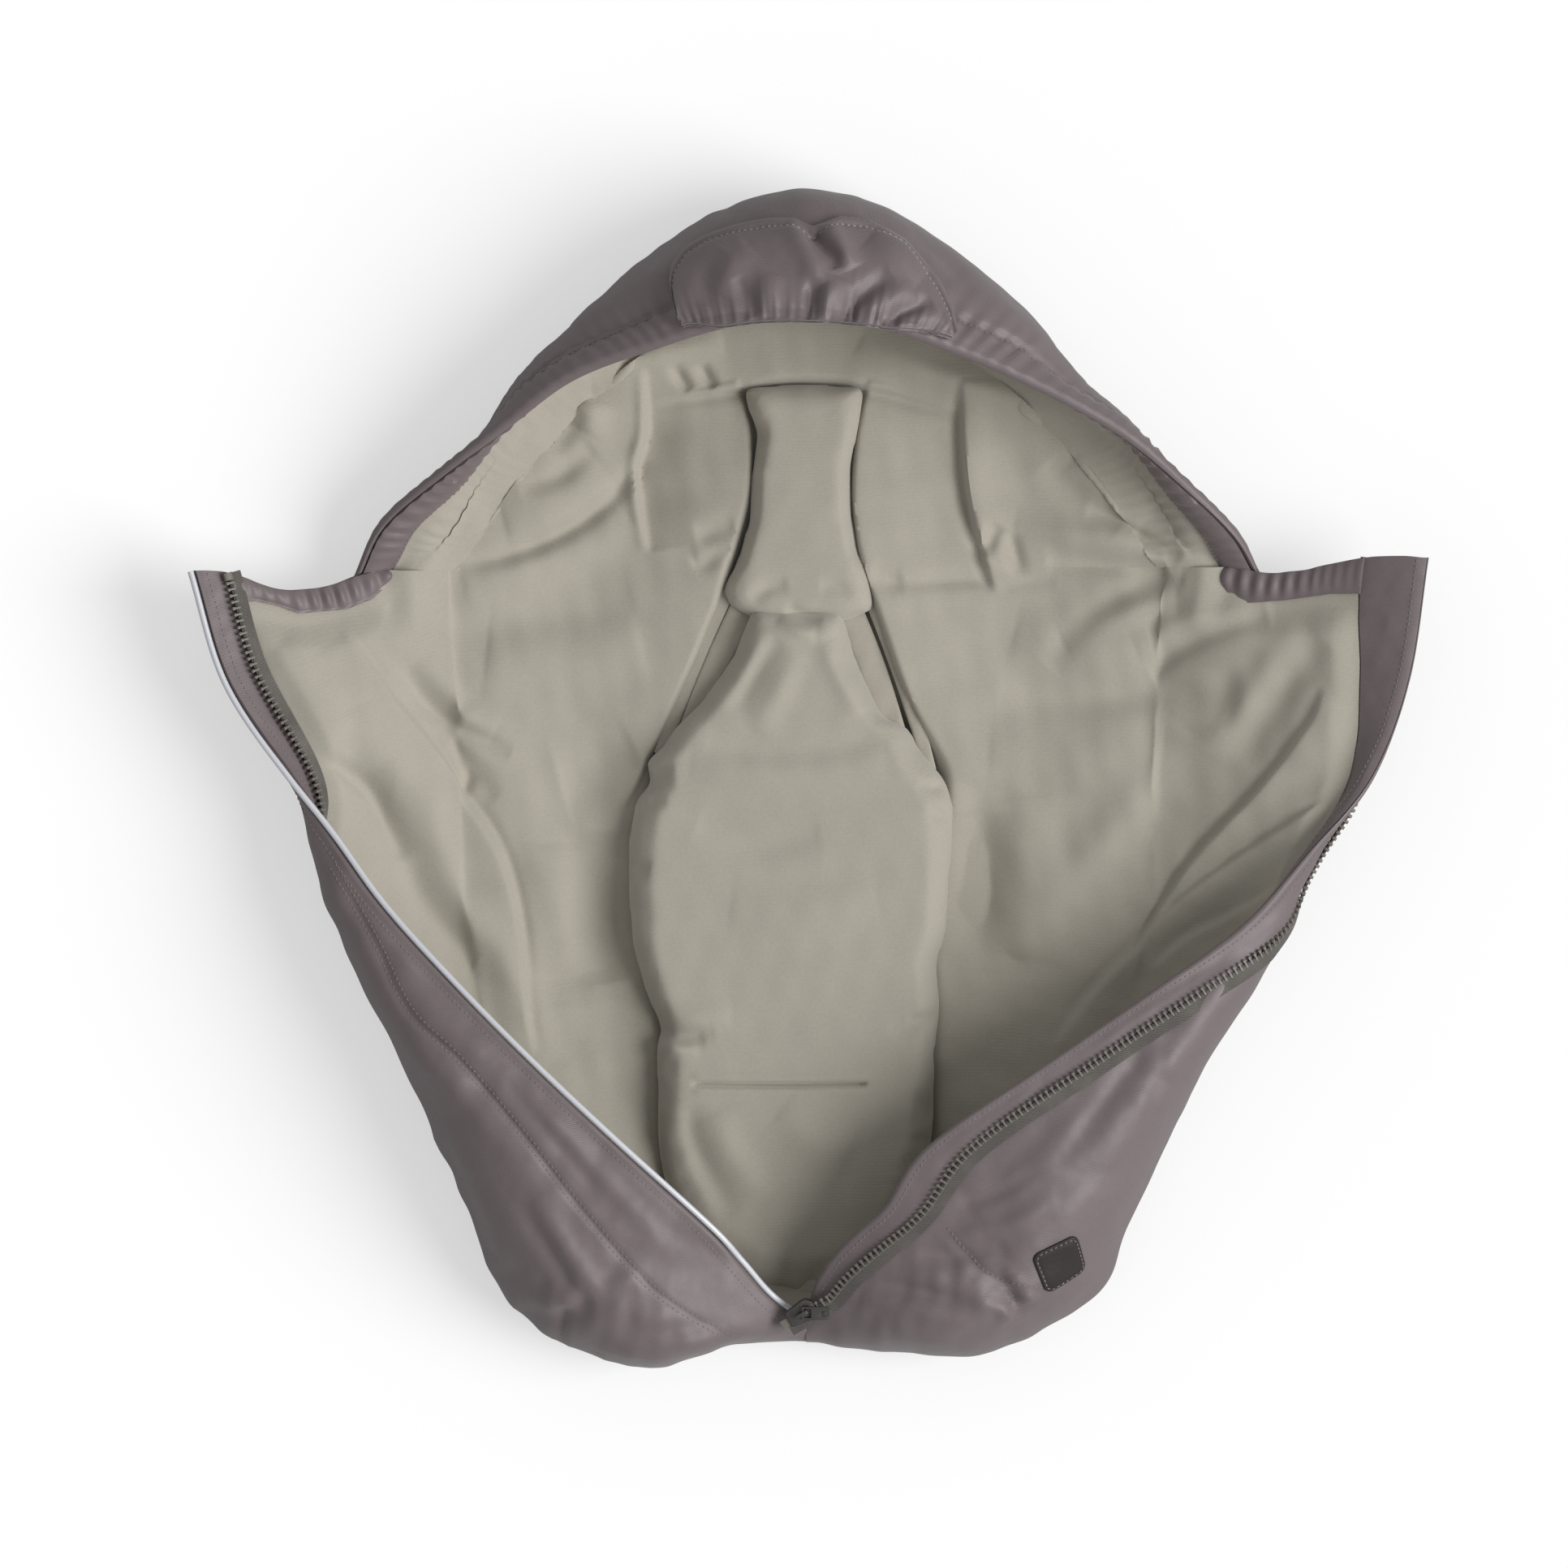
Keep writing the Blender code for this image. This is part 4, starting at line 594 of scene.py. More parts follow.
print("rows on the left wall:", len(rows_between(0, FOOT, WALLS["left"])))

# %% [markdown]
# ## Cloth
# Two cloths make the muff: a smooth taupe taffeta outside and a brushed sage jersey inside. Woven
# pictures could cover them, but pictures blur near the camera and repeat. So both share one node group,
# which turns the object's own coordinates into colour drift, yarn lines, fuzz and small crumples. What
# is the same all over a surface is set on the shader itself.

# %% The cloth's node group
def math_node(tree, operation, a, b=None):
    node = tree.nodes.new("ShaderNodeMath")
    node.operation = operation
    for index, value in enumerate((a, b)):
        if value is None:
            continue
        if isinstance(value, (int, float)):
            node.inputs[index].default_value = value
        else:
            tree.links.new(value, node.inputs[index])
    return node.outputs[0]


def noise(tree, vector, scale, detail=2.0, roughness=0.5):
    node = tree.nodes.new("ShaderNodeTexNoise")
    tree.links.new(vector, node.inputs["Vector"])
    if isinstance(scale, (int, float)):
        node.inputs["Scale"].default_value = scale
    else:
        tree.links.new(scale, node.inputs["Scale"])
    node.inputs["Detail"].default_value = detail
    node.inputs["Roughness"].default_value = roughness
    return node.outputs[0]


def cloth_group():
    """Colour, roughness and bump height of a cloth, in metres of real relief."""
    tree = bpy.data.node_groups.new("cloth surface", "ShaderNodeTree")
    interface = tree.interface
    interface.new_socket("Colour", in_out="INPUT", socket_type="NodeSocketColor")
    for name in ("Drift", "Yarn lines", "Line pitch", "Fuzz", "Crumple", "Crumple size", "Roughness"):
        interface.new_socket(name, in_out="INPUT", socket_type="NodeSocketFloat")
    interface.new_socket("Colour", in_out="OUTPUT", socket_type="NodeSocketColor")
    for name in ("Roughness", "Height"):
        interface.new_socket(name, in_out="OUTPUT", socket_type="NodeSocketFloat")
    inputs, made = tree.nodes.new("NodeGroupInput"), tree.nodes.new("NodeGroupOutput")
    given = inputs.outputs
    place = tree.nodes.new("ShaderNodeTexCoord").outputs["Object"]

    def plus(a, b):
        return math_node(tree, "ADD", a, b)

    def times(a, b):
        return math_node(tree, "MULTIPLY", a, b)

    def centred(value):
        return math_node(tree, "SUBTRACT", value, 0.5)

    soft = noise(tree, place, 9.0, 3.0)
    fine = noise(tree, place, 480.0, 3.0, 0.75)
    split = tree.nodes.new("ShaderNodeSeparateXYZ")
    tree.links.new(place, split.inputs[0])
    wobble = times(noise(tree, place, 30.0, 1.0), 0.004)
    row = plus(plus(split.outputs[1], times(split.outputs[2], 0.6)), wobble)
    turns = math_node(tree, "DIVIDE", row, given["Line pitch"])
    lines = math_node(tree, "SINE", times(turns, 2 * math.pi))
    yarn = times(times(lines, noise(tree, place, 60.0, 2.0)), given["Yarn lines"])
    crumple = noise(tree, place, math_node(tree, "DIVIDE", 1.0, given["Crumple size"]), 2.0, 0.55)
    relief = plus(times(crumple, given["Crumple"]), times(fine, given["Fuzz"]))
    height = plus(relief, times(yarn, 0.0002))
    grain = times(centred(fine), 0.2)
    shade = plus(plus(times(centred(soft), given["Drift"]), times(yarn, 0.05)), grain)
    scaled = tree.nodes.new("ShaderNodeVectorMath")
    scaled.operation = "SCALE"
    tree.links.new(given["Colour"], scaled.inputs[0])
    tree.links.new(plus(shade, 1.0), scaled.inputs["Scale"])
    tree.links.new(scaled.outputs[0], made.inputs["Colour"])
    tree.links.new(plus(given["Roughness"], grain), made.inputs["Roughness"])
    tree.links.new(height, made.inputs["Height"])
    return tree


CLOTH = cloth_group()
print("the cloth group has", len(CLOTH.nodes), "nodes")

# %% [markdown]
# ## Cloths and threads
# Shell, lining, tape and thread differ only in colour, weave and how far they stand up, so each is the
# same group with its own numbers. A little sheen on top lets the pile catch the light at its edges, as
# brushed cloth does.

# %% Cloth materials
def shader(name, **constants):
    material = bpy.data.materials.new(name)
    material.use_nodes = True
    node = material.node_tree.nodes["Principled BSDF"]
    for key, value in constants.items():
        node.inputs[key.replace("_", " ")].default_value = value
    return material, node


def bump(material, node, height):
    tree = material.node_tree
    relief = tree.nodes.new("ShaderNodeBump")
    relief.inputs["Strength"].default_value = 1.0
    relief.inputs["Distance"].default_value = 1.0
    tree.links.new(height, relief.inputs["Height"])
    tree.links.new(relief.outputs[0], node.inputs["Normal"])


def cloth(name, colour, values, **constants):
    material, node = shader(name, **constants)
    tree = material.node_tree
    group = tree.nodes.new("ShaderNodeGroup")
    group.node_tree = CLOTH
    group.inputs["Colour"].default_value = (*colour, 1.0)
    for key, value in values.items():
        group.inputs[key].default_value = value
    tree.links.new(group.outputs["Colour"], node.inputs["Base Color"])
    tree.links.new(group.outputs["Roughness"], node.inputs["Roughness"])
    bump(material, node, group.outputs["Height"])
    return material


SHELL_CLOTH = cloth("taupe shell", (0.165, 0.134, 0.139), {
    "Drift": 0.12, "Yarn lines": 0.3, "Line pitch": 0.0011, "Fuzz": 0.00002, "Crumple": 0.0016,
    "Crumple size": 0.03, "Roughness": 0.48}, Sheen_Weight=0.16, Sheen_Roughness=0.4, Specular_IOR_Level=0.5)
LINING_CLOTH = cloth("sage lining", (0.388, 0.362, 0.305), {
    "Drift": 0.1, "Yarn lines": 0.2, "Line pitch": 0.0021, "Fuzz": 0.00016, "Crumple": 0.0008,
    "Crumple size": 0.06, "Roughness": 0.92}, Sheen_Weight=0.35, Sheen_Roughness=0.55, Specular_IOR_Level=0.2)
THREAD, PALE_THREAD = (
    cloth(name, colour, {"Drift": 0.1, "Yarn lines": 1.0, "Line pitch": 0.0008, "Fuzz": 0.00003,
                         "Crumple": 0.0, "Crumple size": 0.02, "Roughness": roughness}, Sheen_Weight=0.1)
    for name, colour, roughness in (("taupe thread", (0.25, 0.21, 0.21), 0.6),
                                    ("pale thread", (0.42, 0.37, 0.37), 0.7)))
TAPE_CLOTH = cloth("zip tape", (0.16, 0.145, 0.13), {
    "Drift": 0.06, "Yarn lines": 3.0, "Line pitch": 0.0009, "Fuzz": 0.00006, "Crumple": 0.0004,
    "Crumple size": 0.02, "Roughness": 0.75}, Sheen_Weight=0.1)
print("cloths:", len(bpy.data.materials))

# %% [markdown]
# ## Teeth, metal, piping and leather
# The zip's teeth are moulded, the slider is worn metal, the piping shines a little and the patch is dark
# leather. Each could have a tree of its own, but all are one plain colour with a fine grain, so one
# function makes them.

# %% Hard materials
def plain(name, colour, grain_scale, grain, **constants):
    """A plain hard material with a fine grain in its roughness, colour and relief."""
    material, node = shader(name, **constants)
    tree = material.node_tree
    place = tree.nodes.new("ShaderNodeTexCoord").outputs["Object"]
    value = noise(tree, place, grain_scale, 3.0, 0.6)
    mix = tree.nodes.new("ShaderNodeMix")
    mix.data_type = "RGBA"
    tree.links.new(value, mix.inputs["Factor"])
    for end, factor in (("A", 0.85), ("B", 1.15)):
        mix.inputs[end].default_value = (*[c * factor for c in colour], 1.0)
    tree.links.new(mix.outputs["Result"], node.inputs["Base Color"])
    bump(material, node, math_node(tree, "MULTIPLY", value, grain))
    return material


TEETH = plain("zip teeth", (0.16, 0.145, 0.125), 400.0, 0.00003, Roughness=0.42, Specular_IOR_Level=0.5)
METAL = plain("slider metal", (0.1, 0.095, 0.09), 500.0, 0.00002, Roughness=0.35, Metallic=0.7)
PIPING = plain("reflective piping", (0.66, 0.67, 0.71), 1200.0, 0.00005, Roughness=0.35, Metallic=0.15,
               Specular_IOR_Level=0.6)
LEATHER = plain("patch leather", (0.026, 0.021, 0.02), 700.0, 0.00015, Roughness=0.5,
                Specular_IOR_Level=0.35)
print("materials:", len(bpy.data.materials))

# %% [markdown]
# ## Things that repeat
# The muff has hundreds of stitches and zip teeth. A loop could copy them one by one, but one Geometry
# Nodes tree does it faster and varies their size a little, as real ones vary. It sets a prototype on
# each point of a path, turned so that it runs along the path and stands on the cloth.

# %% Repeat a prototype along a path
def repeat_tree():
    tree = bpy.data.node_groups.new("repeat along path", "GeometryNodeTree")
    for name, kind in (("Geometry", "Geometry"), ("Prototype", "Object"), ("Material", "Material"),
                       ("Jitter", "Float"), ("Seed", "Int")):
        tree.interface.new_socket(name, in_out="INPUT", socket_type="NodeSocket" + kind)
    tree.interface.new_socket("Geometry", in_out="OUTPUT", socket_type="NodeSocketGeometry")
    given, made = tree.nodes.new("NodeGroupInput").outputs, tree.nodes.new("NodeGroupOutput")

    def node(kind, *links):
        """A new node; links are pairs of one of its inputs and the output that feeds it."""
        new = tree.nodes.new(kind)
        for slot, source in links:
            tree.links.new(source, new.inputs[slot])
        return new

    def named(name):
        attribute = node("GeometryNodeInputNamedAttribute")
        attribute.data_type = "FLOAT_VECTOR"
        attribute.inputs["Name"].default_value = name
        return attribute.outputs["Attribute"]

    first = node("FunctionNodeAlignRotationToVector", ("Vector", named("along")))
    first.axis = "X"
    second = node("FunctionNodeAlignRotationToVector", ("Rotation", first.outputs[0]),
                  ("Vector", named("up")))
    second.axis, second.pivot_axis = "Z", "X"
    sizes = node("FunctionNodeRandomValue", ("Seed", given["Seed"]))
    sizes.data_type = "FLOAT"
    low, high = [s for s in sizes.inputs if s.type == "VALUE" and s.enabled][:2]
    tree.links.new(math_node(tree, "SUBTRACT", 1.0, given["Jitter"]), low)
    high.default_value = 1.0
    size, = [s for s in sizes.outputs if s.type == "VALUE" and s.enabled]
    prototype = node("GeometryNodeObjectInfo", ("Object", given["Prototype"]))
    on_points = node("GeometryNodeInstanceOnPoints", ("Points", given["Geometry"]),
                     ("Instance", prototype.outputs["Geometry"]), ("Rotation", second.outputs[0]),
                     ("Scale", size))
    real = node("GeometryNodeRealizeInstances", (0, on_points.outputs[0]))
    paint = node("GeometryNodeSetMaterial", ("Geometry", real.outputs[0]), ("Material", given["Material"]))
    tree.links.new(paint.outputs[0], made.inputs[0])
    return tree


REPEAT = repeat_tree()


def applied(made):
    """The object's mesh with its modifiers applied, and no modifier left."""
    graph = bpy.context.evaluated_depsgraph_get()
    done = bpy.data.meshes.new_from_object(made.evaluated_get(graph))
    old = made.data
    made.modifiers.clear()
    made.data = done
    bpy.data.meshes.remove(old)
    return made


def repeat_along(name, points, along, up, prototype, material, jitter=0.08, seed=3):
    mesh = bpy.data.meshes.new(name + "_points")
    mesh.from_pydata(np.asarray(points).tolist(), [], [])
    for key, values in (("along", along), ("up", up)):
        layer = mesh.attributes.new(key, "FLOAT_VECTOR", "POINT")
        layer.data.foreach_set("vector", np.asarray(values, np.float32).reshape(-1))
    made = placed(name, mesh)
    modifier = made.modifiers.new("repeat", "NODES")
    modifier.node_group = REPEAT
    keys = {item.name: item.identifier for item in REPEAT.interface.items_tree
            if item.item_type == "SOCKET" and item.in_out == "INPUT"}
    for key, value in (("Prototype", prototype), ("Material", material), ("Jitter", jitter), ("Seed", seed)):
        modifier[keys[key]] = value
    applied(made)
    made.data.shade_smooth()
    made.data.set_sharp_from_angle(angle=math.radians(50))
    return made


print("inputs of the tree:", [item.name for item in REPEAT.interface.items_tree][:5])

# %% [markdown]
# ## One stitch and one tooth
# A stitch is a short thread that dives into the cloth at both ends. A moulded tooth clasps the tape's
# cord and ends in a wider head. Plain boxes would do at this size, but round tops catch the light, and
# that makes a row look like thread or like a zip.

# %% Prototypes
def prototype_from(name, bm):
    mesh = bpy.data.meshes.new(name)
    bm.to_mesh(mesh)
    bm.free()
    mesh.shade_smooth()
    return placed(name, mesh)


def stitch_prototype(length, radius):
    """One visible stitch: a short thread that dives into the cloth at both ends."""
    bm = bmesh.new()
    rings = []
    for share in np.linspace(-1, 1, 7):
        x = share * length / 2
        thick = radius * math.sqrt(max(1 - abs(share) ** 3, 0.02))
        rise = -radius * 0.9 * abs(share) ** 3
        rings.append([bm.verts.new((x, thick * math.cos(a), rise + thick * math.sin(a)))
                      for a in np.linspace(0, 2 * math.pi, 7)[:-1]])
    for low, high in zip(rings, rings[1:]):
        for i in range(6):
            bm.faces.new((low[i], low[(i + 1) % 6], high[(i + 1) % 6], high[i]))
    bm.faces.new(rings[0][::-1])
    bm.faces.new(rings[-1])
    return prototype_from("stitch_prototype", bm)


def tooth_prototype(width, reach, thickness, bead):
    """A moulded tooth: a clasp round the cord, a narrow neck and a wider head, along +Y."""
    bm = bmesh.new()
    right = [(0.62, -bead), (0.72, 0.4 * MM), (0.55, reach * 0.45), (0.95, reach * 0.62), (0.95, reach * 0.9),
             (0.6, reach)]
    outline = [(-0.62, -bead)] + right + [(-x, y) for x, y in right[:0:-1]]
    half = thickness / 2
    base = [bm.verts.new((x * width / 2, y, -half)) for x, y in outline]
    face = bm.faces.new(base)
    made = bmesh.ops.extrude_face_region(bm, geom=[face])
    top = [v for v in made["geom"] if isinstance(v, bmesh.types.BMVert)]
    bmesh.ops.translate(bm, verts=top, vec=(0, 0, thickness))
    bmesh.ops.recalc_face_normals(bm, faces=bm.faces)
    edges = [e for e in bm.edges if e.calc_face_angle(0) > 0.9]
    bmesh.ops.bevel(bm, geom=edges, offset=0.28 * MM, segments=2, affect="EDGES", profile=0.6)
    return prototype_from("tooth_prototype", bm)


STITCH = stitch_prototype(2.4 * MM, 0.42 * MM)
TOOTH = tooth_prototype(2.1 * MM, 4.0 * MM, 3.0 * MM, 1.6 * MM)
print("prototypes:", len(STITCH.data.polygons), "and", len(TOOTH.data.polygons), "faces")

# %% [markdown]
# ## Measures of the side walls
# Each side wall is one length of cloth from the hood to the toe. Bands, zip and lining could each have
# an outline of their own, but they have to stay beside the rim wherever it swings. So they are given by
# how far they lie from it.

# %% Distances along the walls
SHELL_THICK, GAP, QUILT, FACING = 2.5 * MM, 0.7 * MM, 10 * MM, 4 * MM
TAPE_SHOW = {"left": 4 * MM, "right": 7 * MM}
CASING_WIDTH, TOP_FACING_WIDTH = 22 * MM, 20 * MM
INSETS = {"left": ((0, 20), (9, 20), (12, 8)), "right": ((0, 36), (7, 27), (9, 19), (12, 8))}
# How wide the shell's turned-in band is on the right: (station, millimetres from the rim)
RIGHT_BAND = ((0, 41), (0.5, 37), (1, 30), (1.5, 22), (2, 15), (2.5, 11), (3, 12), (4, 22), (5, 36), (7, 34),
              (9, 26), (12, 15))
FOLD_STRENGTH = 1.25  # how much higher the lining's folds stand than their lines say
ZIP_PITCH, STOP_LENGTH = 4 * MM, 5 * MM
SEAMS = {
    "left": ((410, 1066), (463, 1159), (506, 1245), (566, 1305), (645, 1398), (719, 1493), (809, 1592),
             (905, 1652)),
    "right": ((1165, 1515), (1190, 1545), (1215, 1570), (1250, 1585), (1290, 1590)),
}
print("the band turned in on the right is", min(width for _, width in RIGHT_BAND), "mm at its narrowest")

# %% [markdown]
# ## The photographed folds
# The shell hangs in long creases from its panel seams, and the lining is pushed into ridges beside the
# zip and round the harness slots. Noise could crumple it all evenly, but the muff is known by these
# folds, so each line below was laid along one of them. A crease has a negative height.

# %% Folds of the shell and of the lining
FOLDS_OUT = {
    "left": Folds(
        (-1.8, 2.2, *SEAMS["left"]),
        (3.5, 9, (400, 1085), (450, 1170), (490, 1255), (550, 1320), (630, 1415), (700, 1505)),
        (3.5, 10, (425, 1060), (480, 1150), (525, 1235), (590, 1300), (670, 1390), (745, 1485)),
        (-3, 7, (636, 1612), (700, 1618), (740, 1600), (785, 1590)),
        (3.5, 7, (650, 1596), (700, 1602), (745, 1586), (790, 1572)),
        (-3, 5, (640, 1480), (690, 1560), (720, 1612)),
        (3, 6, (660, 1470), (705, 1545), (738, 1600)),
        (-3, 6, (700, 1625), (716, 1600), (740, 1585), (770, 1560)),
        (3, 12, (560, 1380), (600, 1470), (640, 1560)),
        (-2, 6, (545, 1400), (575, 1470), (610, 1550)),
        (-2.5, 3, (697, 1606), (695, 1630), (693, 1655)),
        (-2, 6, (760, 1640), (820, 1640), (900, 1630)),
        (3, 8, (740, 1655), (820, 1662), (880, 1645)),
        (2.5, 7, (640, 1330), (700, 1400), (770, 1480), (830, 1545)),
        (-2, 5, (620, 1330), (680, 1400), (740, 1470))),
    "right": Folds(
        (-2.5, 3, *SEAMS["right"]),
        (4, 14, (1200, 1490), (1260, 1460), (1330, 1400), (1400, 1330)),
        (3, 10, (1110, 1560), (1180, 1580), (1230, 1610)),
        (-4, 5, (1205, 1580), (1228, 1596), (1245, 1600), (1275, 1604)),
        (-3.5, 4, (1230, 1560), (1240, 1582), (1250, 1604), (1256, 1622)),
        (4, 5, (1216, 1592), (1232, 1608), (1246, 1624)),
        (3.5, 5, (1246, 1570), (1258, 1588), (1268, 1604)),
        (3, 7, (1060, 1600), (1130, 1610), (1200, 1630)),
        (-3, 6, (1050, 1575), (1120, 1588), (1190, 1602)),
        (-1.5, 6, (1262, 1600), (1263, 1620), (1262, 1636)),
        (3, 10, (1340, 1450), (1390, 1380), (1440, 1290)),
        (-3, 7, (1300, 1440), (1360, 1360), (1420, 1280)),
        (-2.5, 5, (1180, 1480), (1230, 1470), (1280, 1440)),
        (2.5, 6, (1150, 1530), (1200, 1520), (1260, 1500), (1300, 1470)),
        (-2.5, 6, (1130, 1545), (1180, 1548), (1240, 1535)),
        (2.5, 8, (1430, 1330), (1480, 1250), (1530, 1170)),
        (3, 12, (1240, 1545), (1290, 1500), (1350, 1450))),
}
FOLDS_IN = Folds(
    # left wing: long ridges beside the zip and the one that falls over its own valley
    (6, 13, (432, 870), (459, 932), (495, 977), (512, 1022), (544, 1102), (584, 1138), (629, 1200),
     (673, 1312)),
    (-4.5, 9, (400, 900), (440, 970), (478, 1040), (520, 1130), (580, 1190)),
    ("over", 5.5, 30, (660, 1300), (650, 1245), (641, 1147), (622, 1066), (593, 1010), (539, 950),
     (486, 880), (450, 824), (420, 780)),
    (-5, 24, (560, 900), (630, 990), (672, 1070), (690, 1160), (700, 1240)),
    (-3.75, 5, (486, 821), (512, 861), (548, 888), (602, 915), (629, 928)),
    (3.75, 8, (500, 815), (530, 850), (566, 876), (610, 900)),
    (-3, 5, (579, 950), (574, 965), (570, 977)),
    (-4.5, 5, (374, 941), (410, 950), (450, 977), (477, 1031), (486, 1057)),
    (-5.25, 6, (560, 698), (631, 682), (702, 651), (758, 609), (791, 562)),
    (4.5, 12, (570, 720), (640, 705), (715, 678), (775, 640)),
    (4.5, 10, (716, 529), (728, 508), (735, 491)),
    (-3.75, 8, (680, 560), (700, 530), (712, 505)),
    (5, 15, (330, 800), (372, 850), (402, 905), (440, 950)),
    (-4, 8, (452, 780), (500, 850), (560, 930), (610, 985)),
    (5, 18, (560, 880), (620, 960), (668, 1050), (690, 1150)),
    (5, 24, (600, 800), (700, 810), (790, 790)),
    (-4.5, 16, (470, 745), (560, 770), (680, 760), (780, 740)),
    (5, 16, (620, 640), (690, 620), (742, 580)),
    (-3.5, 7, (640, 600), (690, 585), (730, 550)),
    # the back's quilts rise beside the harness slots
    ("over", 9.2, 46, (770, 995), (808, 920), (828, 876), (851, 824), (876, 766), (897, 716), (911, 668),
     (923, 622), (927, 572), (924, 522), (908, 466)),
    ("over", 9.2, 46, (1072, 466), (1056, 522), (1050, 572), (1049, 622), (1057, 682), (1075, 738),
     (1093, 792), (1111, 842), (1132, 893), (1150, 940), (1162, 1010)),
    (-3, 7, (905, 650), (880, 655), (858, 662)),
    (3, 7, (900, 690), (878, 684), (856, 690)),
    (-3, 7, (1072, 705), (1092, 716), (1112, 714)),
    # the shade and the valley beside the seat pad
    (-6, 20, (691, 964), (740, 950), (785, 928)),
    (-7.5, 20, (736, 1022), (742, 1100), (750, 1160), (758, 1210)),
    (6, 22, (690, 1040), (688, 1120), (700, 1200)),
    (-4.5, 14, (1205, 960), (1212, 1060), (1200, 1180)),
    (5.25, 22, (1262, 980), (1268, 1080), (1250, 1180)),
    # head: the dart on each side, the band's seam and the roll under the edge
    ("over", -7.5, 20, (795, 453), (797, 500), (796, 538), (786, 580), (791, 632), (800, 680)),
    ("over", 7.5, 20, (1185, 467), (1185, 538), (1192, 609), (1211, 684), (1225, 730)),
    ("over", 4.5, 18, (798, 497), (855, 487), (912, 480), (961, 474), (1013, 474), (1070, 478), (1126, 492),
     (1183, 509)),
    (5.25, 9, (711, 458), (796, 439), (890, 420)),
    (5.25, 9, (1060, 420), (1126, 453), (1221, 481), (1300, 500)),
    (-3.75, 4, (829, 448), (838, 465), (850, 481)),
    (-3.75, 4, (862, 448), (870, 463), (881, 477)),
    (-4.5, 5, (1211, 684), (1220, 665), (1230, 646)),
    (-4.5, 5, (1244, 656), (1250, 682), (1258, 708)),
    (-3.75, 6, (857, 703), (868, 694), (884, 684), (900, 684)),
    (-4, 9, (1460, 700), (1395, 730), (1330, 775), (1290, 820)),
    (4.5, 14, (1250, 780), (1330, 800), (1420, 790)),
    (-4, 12, (1230, 850), (1330, 860), (1440, 850), (1520, 870)),
    (4.5, 20, (1220, 920), (1340, 930), (1450, 940)),
    (4, 16, (1330, 560), (1370, 600), (1420, 640)),
    (-3.5, 10, (1290, 570), (1330, 610), (1380, 650)),
    (-5, 30, (1190, 1000), (1200, 1100), (1190, 1200)),
    # right wing: wrinkles from the notch and ridges along the edge
    (5.25, 11, (1480, 700), (1400, 670), (1320, 660), (1250, 650)),
    (-4.5, 7, (1480, 715), (1390, 698), (1290, 690)),
    (-4.5, 6, (1478, 688), (1410, 650), (1340, 628)),
    (-3, 5, (1090, 720), (1190, 714), (1300, 718)),
    (4.5, 9, (1470, 740), (1390, 750), (1310, 790)),
    (-4.5, 7, (1420, 834), (1455, 808), (1500, 782), (1565, 758)),
    (4, 10, (1400, 800), (1450, 782), (1510, 760), (1570, 745)),
    ("over", 5.0, 20, (1640, 850), (1624, 891), (1566, 971), (1508, 1034), (1436, 1128), (1351, 1217),
     (1298, 1289)),
    ("over", 3.6, 15, (1664, 985), (1580, 1034), (1521, 1070), (1463, 1119), (1423, 1155)),
    ("over", 3.0, 12, (1598, 1097), (1535, 1128), (1481, 1159), (1436, 1200)),
    (4.5, 16, (1480, 900), (1400, 990), (1320, 1090), (1250, 1180)),
    (-3, 10, (1640, 790), (1595, 845), (1558, 900), (1540, 940)),
    (2.6, 10, (1610, 770), (1570, 825), (1535, 880), (1500, 930)),
    (-2.4, 8, (1520, 820), (1524, 860), (1516, 900)),
)
print("folds outside:", {side: len(field.lines) for side, field in FOLDS_OUT.items()},
      "inside:", len(FOLDS_IN.lines))

# %% [markdown]
# ## Shell and quilt in section
# A shell runs up the outside, turns over its edge and comes back inside. A quilt is thick in its middle
# and thin at its seams. Side walls and hood need both, so each section is written once, as rows of
# distances and depths.

# %% Sections of shell and quilt
def inset_of(side):
    """How far the zip lies from the rim; on the right it swings close to it where the flap stands up."""
    stations, distances = zip(*INSETS[side])
    near_rim = 22 * MM if side == "right" else 0.0
    return lambda s: np.interp(s, stations, distances) * MM - near_rim * hill(s - 2.5, 0.9)


def columns(start, end, count, power=1.0):
    """Distances from start to end, arrays over stations, closer together near the start."""
    share = np.linspace(0, 1, count) ** power
    return start[:, None] + (end - start)[:, None] * share[None, :]


def around(front, back):
    """One closed row of values for a layer: its face from the far end to the rim, then its back."""
    return np.concatenate([front[:, ::-1], back], axis=1)


def facing_end(wall):
    """The station where the gathered facing along a flap's top edge ends."""
    stations = np.linspace(0, 1.5, 60)
    y = wall.points(stations, np.full((60, 1), 1.0))[:, 0, 1]
    return float(np.interp(-(y[0] - TOP_FACING_WIDTH), -y, stations))


def crinkle(points, seed, amount):
    return waves(points[..., 0], points[..., 1], 0.06, seed) * amount


def fillet(edge_distance):
    """Wadding fills the corner where the wall leaves the floor."""
    return 9 * MM * hill(edge_distance, 46 * MM)


def front_only(rise, count):
    """Keep the first count values of each row of a layer, and leave the rest flat."""
    return np.where(np.arange(rise.shape[1]) < count, rise, 0.0)


def shell_section(outside, inside, edge):
    """Distances and depths of a shell: its outside, the corners of its edge in millimetres, its inside."""
    corners = np.repeat((np.array(edge) * MM)[None], len(outside), axis=0)
    inner = np.full_like(inside, SHELL_THICK)
    return (np.concatenate([outside[:, ::-1], corners[..., 0], inside], axis=1),
            np.concatenate([np.zeros_like(outside), corners[..., 1], inner], axis=1))


